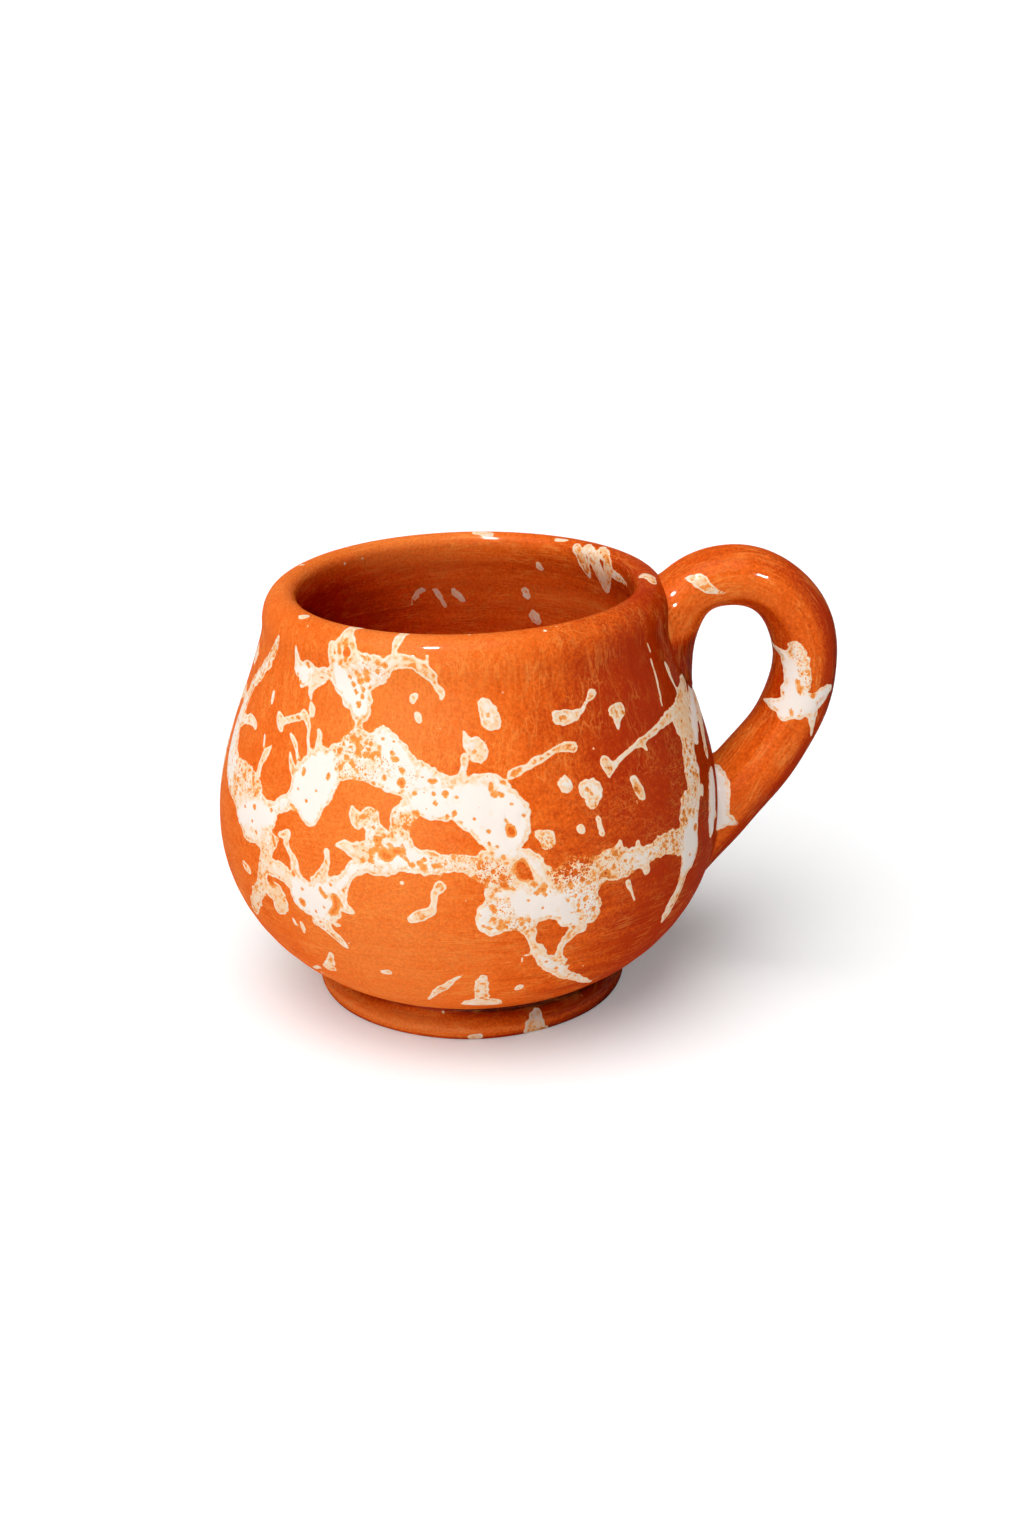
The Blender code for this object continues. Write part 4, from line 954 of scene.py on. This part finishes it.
# The handle is a pulled coil of clay. Its upper end is smeared up the neck to the lip, it loops over one
# finger, and its lower end is pressed on the belly.
HANDLE_ROOT, ROOT_RISE = (29.5, 46.5), 88
HANDLE_CROWN, HANDLE_BEND = (40.4, 64.6), (51.85, 51.5)
HANDLE_HEEL, HEEL_SLOPE, HANDLE_TAIL = (37.4, 25.5), 50, 11.0
FULL_ARM, PATH_STEPS = 0.45, (120, 120, 160, 60)
COIL_ROWS, COIL_COLUMNS = 220, 112
# Five values stand for the root, the crown, the bend, the heel and the buried tail, here and below.
COIL_THICK, COIL_WIDE = (9.6, 9.2, 10.1, 11.6, 11.6), (13.0, 10.4, 10.4, 12.2, 12.2)

heel_heading = IN + HEEL_SLOPE
tail_end = np.array(HANDLE_HEEL) + HANDLE_TAIL * heading(heel_heading)
path = outline(
    HANDLE_ROOT, ROOT_RISE,
    (HANDLE_CROWN, OUT, FULL_ARM, PATH_STEPS[0]),
    (HANDLE_BEND, DOWN, ROUND_ARM, PATH_STEPS[1]),
    (HANDLE_HEEL, heel_heading, EASY_ARM, PATH_STEPS[2]),
    (tail_end, heel_heading, EASY_ARM, PATH_STEPS[3]),
)
path = np.concatenate([path, tail_end[None]])
path_run = np.concatenate([[0], np.cumsum(np.linalg.norm(np.diff(path, axis=0), axis=1))])
coil_places = path_run[np.cumsum((0, *PATH_STEPS))]
_, crown_run, bend_run, _, path_end = coil_places


def eased(run, values):
    """Values between the five places along the coil, eased by a cosine from one to the next."""
    index = np.clip(np.searchsorted(coil_places, run, side="right") - 1, 0, len(coil_places) - 2)
    share = np.clip((run - coil_places[index]) / np.diff(coil_places)[index], 0, 1)
    share = (1 - np.cos(math.pi * share)) / 2
    values = np.array(values)
    return values[index] * (1 - share) + values[index + 1] * share


def coil_at(run, angle, swell=0):
    """Points of the coil: an oval about the path, with its thickness in the loop's plane and its width
    across it, both made larger by the swell."""
    centre = np.stack([np.interp(run, path_run, path[:, k]) for k in range(2)], axis=-1)
    ahead = np.stack([np.interp(run, path_run, np.gradient(path[:, k], path_run)) for k in range(2)], axis=-1)
    ahead /= np.linalg.norm(ahead, axis=-1, keepdims=True)
    outward = np.stack([-ahead[..., 1], ahead[..., 0]], axis=-1)
    thick = eased(run, COIL_THICK) / 2 + swell
    wide = eased(run, COIL_WIDE) / 2 + swell
    in_plane = centre + outward * (thick * np.cos(angle))[..., None]
    return np.stack([axis_x + in_plane[..., 0], wide * np.sin(angle), in_plane[..., 1]], axis=-1)


def above_bowl(points):
    """Height of points above the bowl's outer skin: their offset from the nearest place of its profile,
    along the profile's outward direction."""
    step = np.gradient(wall, axis=0)
    facing = np.stack([-step[:, 1], step[:, 0]], axis=1)
    facing /= np.linalg.norm(facing, axis=1, keepdims=True)
    reach = np.hypot(points[..., 0] - axis_x, points[..., 1])
    flat = np.stack([reach, points[..., 2]], axis=-1).reshape(-1, 2)
    nearest = np.argmin(((flat[:, None] - wall[None]) ** 2).sum(axis=2), axis=1)
    height = np.einsum("ij,ij->i", flat - wall[nearest], facing[nearest])
    return height.reshape(points.shape[:-1])


def rounded(values, passes=3):
    """Values round a ring, each averaged with its neighbours a few times."""
    for _ in range(passes):
        values = (np.roll(values, 1) + 2 * values + np.roll(values, -1)) / 4
    return values


# Both ends are cut to the bowl's skin and sink a little into it. The clay swells where it was smeared on: at
# the root on the two sides, and at the heel all round.
END_SINK, TRIALS = 0.7, 500
ROOT_SMEAR, HEEL_SMEAR, SMEAR_ROUND, SMEAR_SHARE = 4.2, 1.2, 0.9, 0.8
angles = np.arange(COIL_COLUMNS) / COIL_COLUMNS * 2 * math.pi
runs = np.linspace(0, path_end, TRIALS)[:, None]
order = np.arange(TRIALS)[:, None]
buried = above_bowl(coil_at(*np.broadcast_arrays(runs, angles))) < -END_SINK
start_run = rounded(runs[np.where(buried & (runs < bend_run), order, 0).max(axis=0), 0])
end_run = rounded(runs[np.where(buried & (runs >= bend_run), order, TRIALS - 1).min(axis=0), 0])
along = np.linspace(0, 1, COIL_ROWS)[:, None]
coil_runs = start_run + along * (end_run - start_run)
coil_angles = angles + 0 * along
bare_height = np.clip(above_bowl(coil_at(coil_runs, coil_angles)), 0, None)
near_root = coil_runs < bend_run
smear = np.where(near_root, ROOT_SMEAR, HEEL_SMEAR)
smear_side = np.where(near_root, np.sin(coil_angles) ** 2, 1.0)
smear_gap = ramp(bare_height, smear, 0)
swell = SMEAR_SHARE * smear_side * smear * (1 - np.sqrt(1 - SMEAR_ROUND * smear_gap**2))
coil_rings = coil_at(coil_runs, coil_angles, swell)
coil_normals = ring_normals(coil_rings)

# The pulling left lines along the coil and waves where it was gripped, and the bend a crease on its inside.
PULL_LINE, PULL_LINES, PULL_TWIST = 0.05, 5, 0.05
GRIP_WAVE, GRIP_SIDES, GRIP_TURN = 0.06, 2, 0.55
PULLED_FROM = 3
CREASE_DEPTH, CREASE_SIDE, CREASE_SHARE = 0.3, (0.45, 0.60), (0, 0.8, 0.6, 0, 0)
pulled = PULL_LINE * np.sin(PULL_LINES * coil_angles + PULL_TWIST * coil_runs)
pulled += GRIP_WAVE * np.sin(GRIP_SIDES * coil_angles + GRIP_TURN * coil_runs)
crease = ramp(-np.cos(coil_angles), *CREASE_SIDE) * eased(coil_runs, CREASE_SHARE)
pulled = pulled * ramp(bare_height, 0, PULLED_FROM) - CREASE_DEPTH * crease
coil_rings = coil_rings + coil_normals * pulled[:, :, None]

HANDLE_SPLASHES = [
    # the star on the bend
    (0.7, 0.7, (795, 648, 1.3), (799, 660, 1.6), (801, 672, 1.6), (801, 684, 1.6)),
    (1.0, 0.1, (786, 662, 0.9), (790, 675, 1.2), (792, 688, 1.4)),
    (0.9, 0.1, (768, 638, 0.2), (777, 648, 0.5), (786, 656, 0.8), (792, 664, 1.0), (797, 674, 1.3)),
    (1.0, 0.05, (764, 699, 0.2), (772, 703, 0.8), (784, 707, 1.6), (798, 704, 2.2), (812, 703, 1.7),
     (822, 695, 1.5), (829, 688, 0.8)),
    (1.0, 0.1, (786, 690, 1.0), (791, 700, 1.7)), (1.0, 0.0, (784, 715, 0.9), (797, 713, 1.0)),
    (0.6, 0.1, (812, 713, 1.0), (812, 725, 0.6), (811, 735, 0.25)),
    # the spot by the lip
    (0.5, 0.5, (686, 578, 0.3), (693, 579, 0.8), (700, 581, 1.1), (706, 586, 1.0), (712, 590, 0.7),
     (718, 592, 0.4), (726, 593, 0.15)),
    # the patch at the lower joint
    (1.0, 0.0, (715, 769, 1.0), (716, 782, 2.0), (716, 800, 2.4), (717, 816, 2.3), (730, 821, 0.9),
     (737, 824, 0.4)),
]
HANDLE_BUBBLES = [
    (797, 681, 0.4), (799, 687, 0.4), (800, 693, 0.3), (813, 696, 0.5), (820, 699, 0.25, 824, 697, 0.25),
    (817, 704, 0.25), (791, 709, 0.25), (801, 710, 0.3), (792, 715, 0.3), (798, 670, 0.25),
    (784, 693, 0.3),
]
coil_points = coil_rings.reshape(-1, 3)
coil_facing = coil_normals.reshape(-1, 3)
coil_depth, coil_look = coat(coil_points, splashes_seen(coil_points, coil_facing, HANDLE_SPLASHES))
coil_rings = raised(coil_rings, coil_normals, coil_depth)
coil_poles = np.stack([coil_rings[0].mean(axis=0), coil_rings[-1].mean(axis=0)])
handle = closed_skin("coil_handle", coil_rings, coil_poles)

# The handle's heat, with painted shade added: darker on the coil's outer side, turned from the lamp, in the
# crease, along the seam where the heel meets the belly, and in the web under the root, which faces down.
COIL_HEAT, OUTER_SHADE, OUTER_FROM = (0.55, 0.4, 0.6, 0.5, 0.5), (0, 0.2, 1.0, 1.2, 1.2), 0.35
CREASE_SHADE, SEAM_SHADE, SEAM_WIDTH = 0.5, 0.6, 0.5
ROOT_WEB_SHADE, ROOT_TOP, ROOT_FADE = 1.0, 57.3, 1.7
MOST_HEAT_AND_SHADE, LAY_RADIUS = 1.45, 5
outer = ramp(np.cos(coil_angles), OUTER_FROM, 1)
seam = ramp(bare_height, SEAM_WIDTH, 0) * ~near_root
web = ramp(coil_rings[:, :, 2], ROOT_TOP, ROOT_TOP - ROOT_FADE) * (coil_runs < crown_run)
coil_heat_and_shade = eased(coil_runs, COIL_HEAT) + eased(coil_runs, OUTER_SHADE) * outer
coil_heat_and_shade += SEAM_SHADE * seam + CREASE_SHADE * crease + ROOT_WEB_SHADE * web
coil_lay = [SQUEEZE * coil_runs, LAY_RADIUS * np.cos(coil_angles), LAY_RADIUS * np.sin(coil_angles)]
glazed(
    handle,
    slip_depth=coil_depth,
    slip_bubbles=bubbles_seen(coil_points, coil_facing, HANDLE_BUBBLES),
    slip_look=coil_look,
    lay=np.stack(coil_lay, axis=2).reshape(-1, 3),
    kiln_heat=np.minimum(coil_heat_and_shade, MOST_HEAT_AND_SHADE).ravel(),
    bounce=np.full_like(coil_depth, OUTER_BOUNCE),
)
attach(handle, "root")
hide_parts("handle", "handle_root_luting", "handle_heel_luting")

# The studio: a wide white table, a soft lamp high at the left of the eye, a low window beside it, two small
# lamps that show in the glaze alone, one of them on the handle only, and dim light from all round.
TABLE_REACH, TABLE_WHITE, TABLE_GLOW = 9000.0, paint(247, 247, 247), 0.21
ROOM_WHITE, ROOM_LIGHT = (1.0, 1.0, 1.0, 1.0), 0.05
# Each lamp has a strength and then, in degrees, a spread, a height above the table and a turn to the right.
LAMPS = {"lamp": (2.8, 58, 68, -38), "window": (0.8, 44, 18, -22)}
GLAZE_LAMPS = {"bulb": (17.0, 8, 61, -31), "glint": (16.0, 7, 30, 25)}


def shown(tree):
    """1 for what the eye sees, straight, in a shine or through a clear thing, and 0 for light on the cup."""
    rays = node(tree, "LightPath", {}).outputs
    return most(*(Field(tree, rays[f"Is {kind} Ray"]) for kind in ("Camera", "Glossy", "Transmission")))


corners = TABLE_REACH * MM * np.array([(-1, -1, 0), (1, -1, 0), (1, 1, 0), (-1, 1, 0)])
table_mesh = bpy.data.meshes.new("table")
table_mesh.from_pydata(corners.tolist(), [], [(0, 1, 2, 3)])
table = bpy.data.objects.new("table", table_mesh)
bpy.context.scene.collection.objects.link(table)
table_white = bpy.data.materials.new("table_white")
table_white.use_nodes = True
tree = table_white.node_tree
tree.nodes.remove(tree.nodes["Principled BSDF"])
glow = field(tree, "Emission", 0, {"Strength": TABLE_GLOW * shown(tree)})
matt = field(tree, "BsdfDiffuse", 0, {"Color": TABLE_WHITE})
fill(tree.nodes["Material Output"], {"Surface": field(tree, "AddShader", 0, {0: glow, 1: matt})})
table_mesh.materials.append(table_white)

for name, (strength, spread, height, side) in (LAMPS | GLAZE_LAMPS).items():
    lamp = bpy.data.objects.new(name, bpy.data.lights.new(name, "SUN"))
    lamp.data.energy = strength
    lamp.data.angle = math.radians(spread)
    lamp.rotation_euler = (math.radians(90 - height), 0, math.radians(side))
    lamp.visible_diffuse = name in LAMPS
    bpy.context.scene.collection.objects.link(lamp)
handle_alone = bpy.data.collections.new("handle_alone")
handle_alone.objects.link(handle)
bpy.data.objects["glint"].light_linking.receiver_collection = handle_alone
room = bpy.data.worlds.new("room")
room.use_nodes = True
room_shine = most(shown(room.node_tree), ROOM_LIGHT)
fill(room.node_tree.nodes["Background"], {"Color": ROOM_WHITE, "Strength": room_shine})
bpy.context.scene.world = room
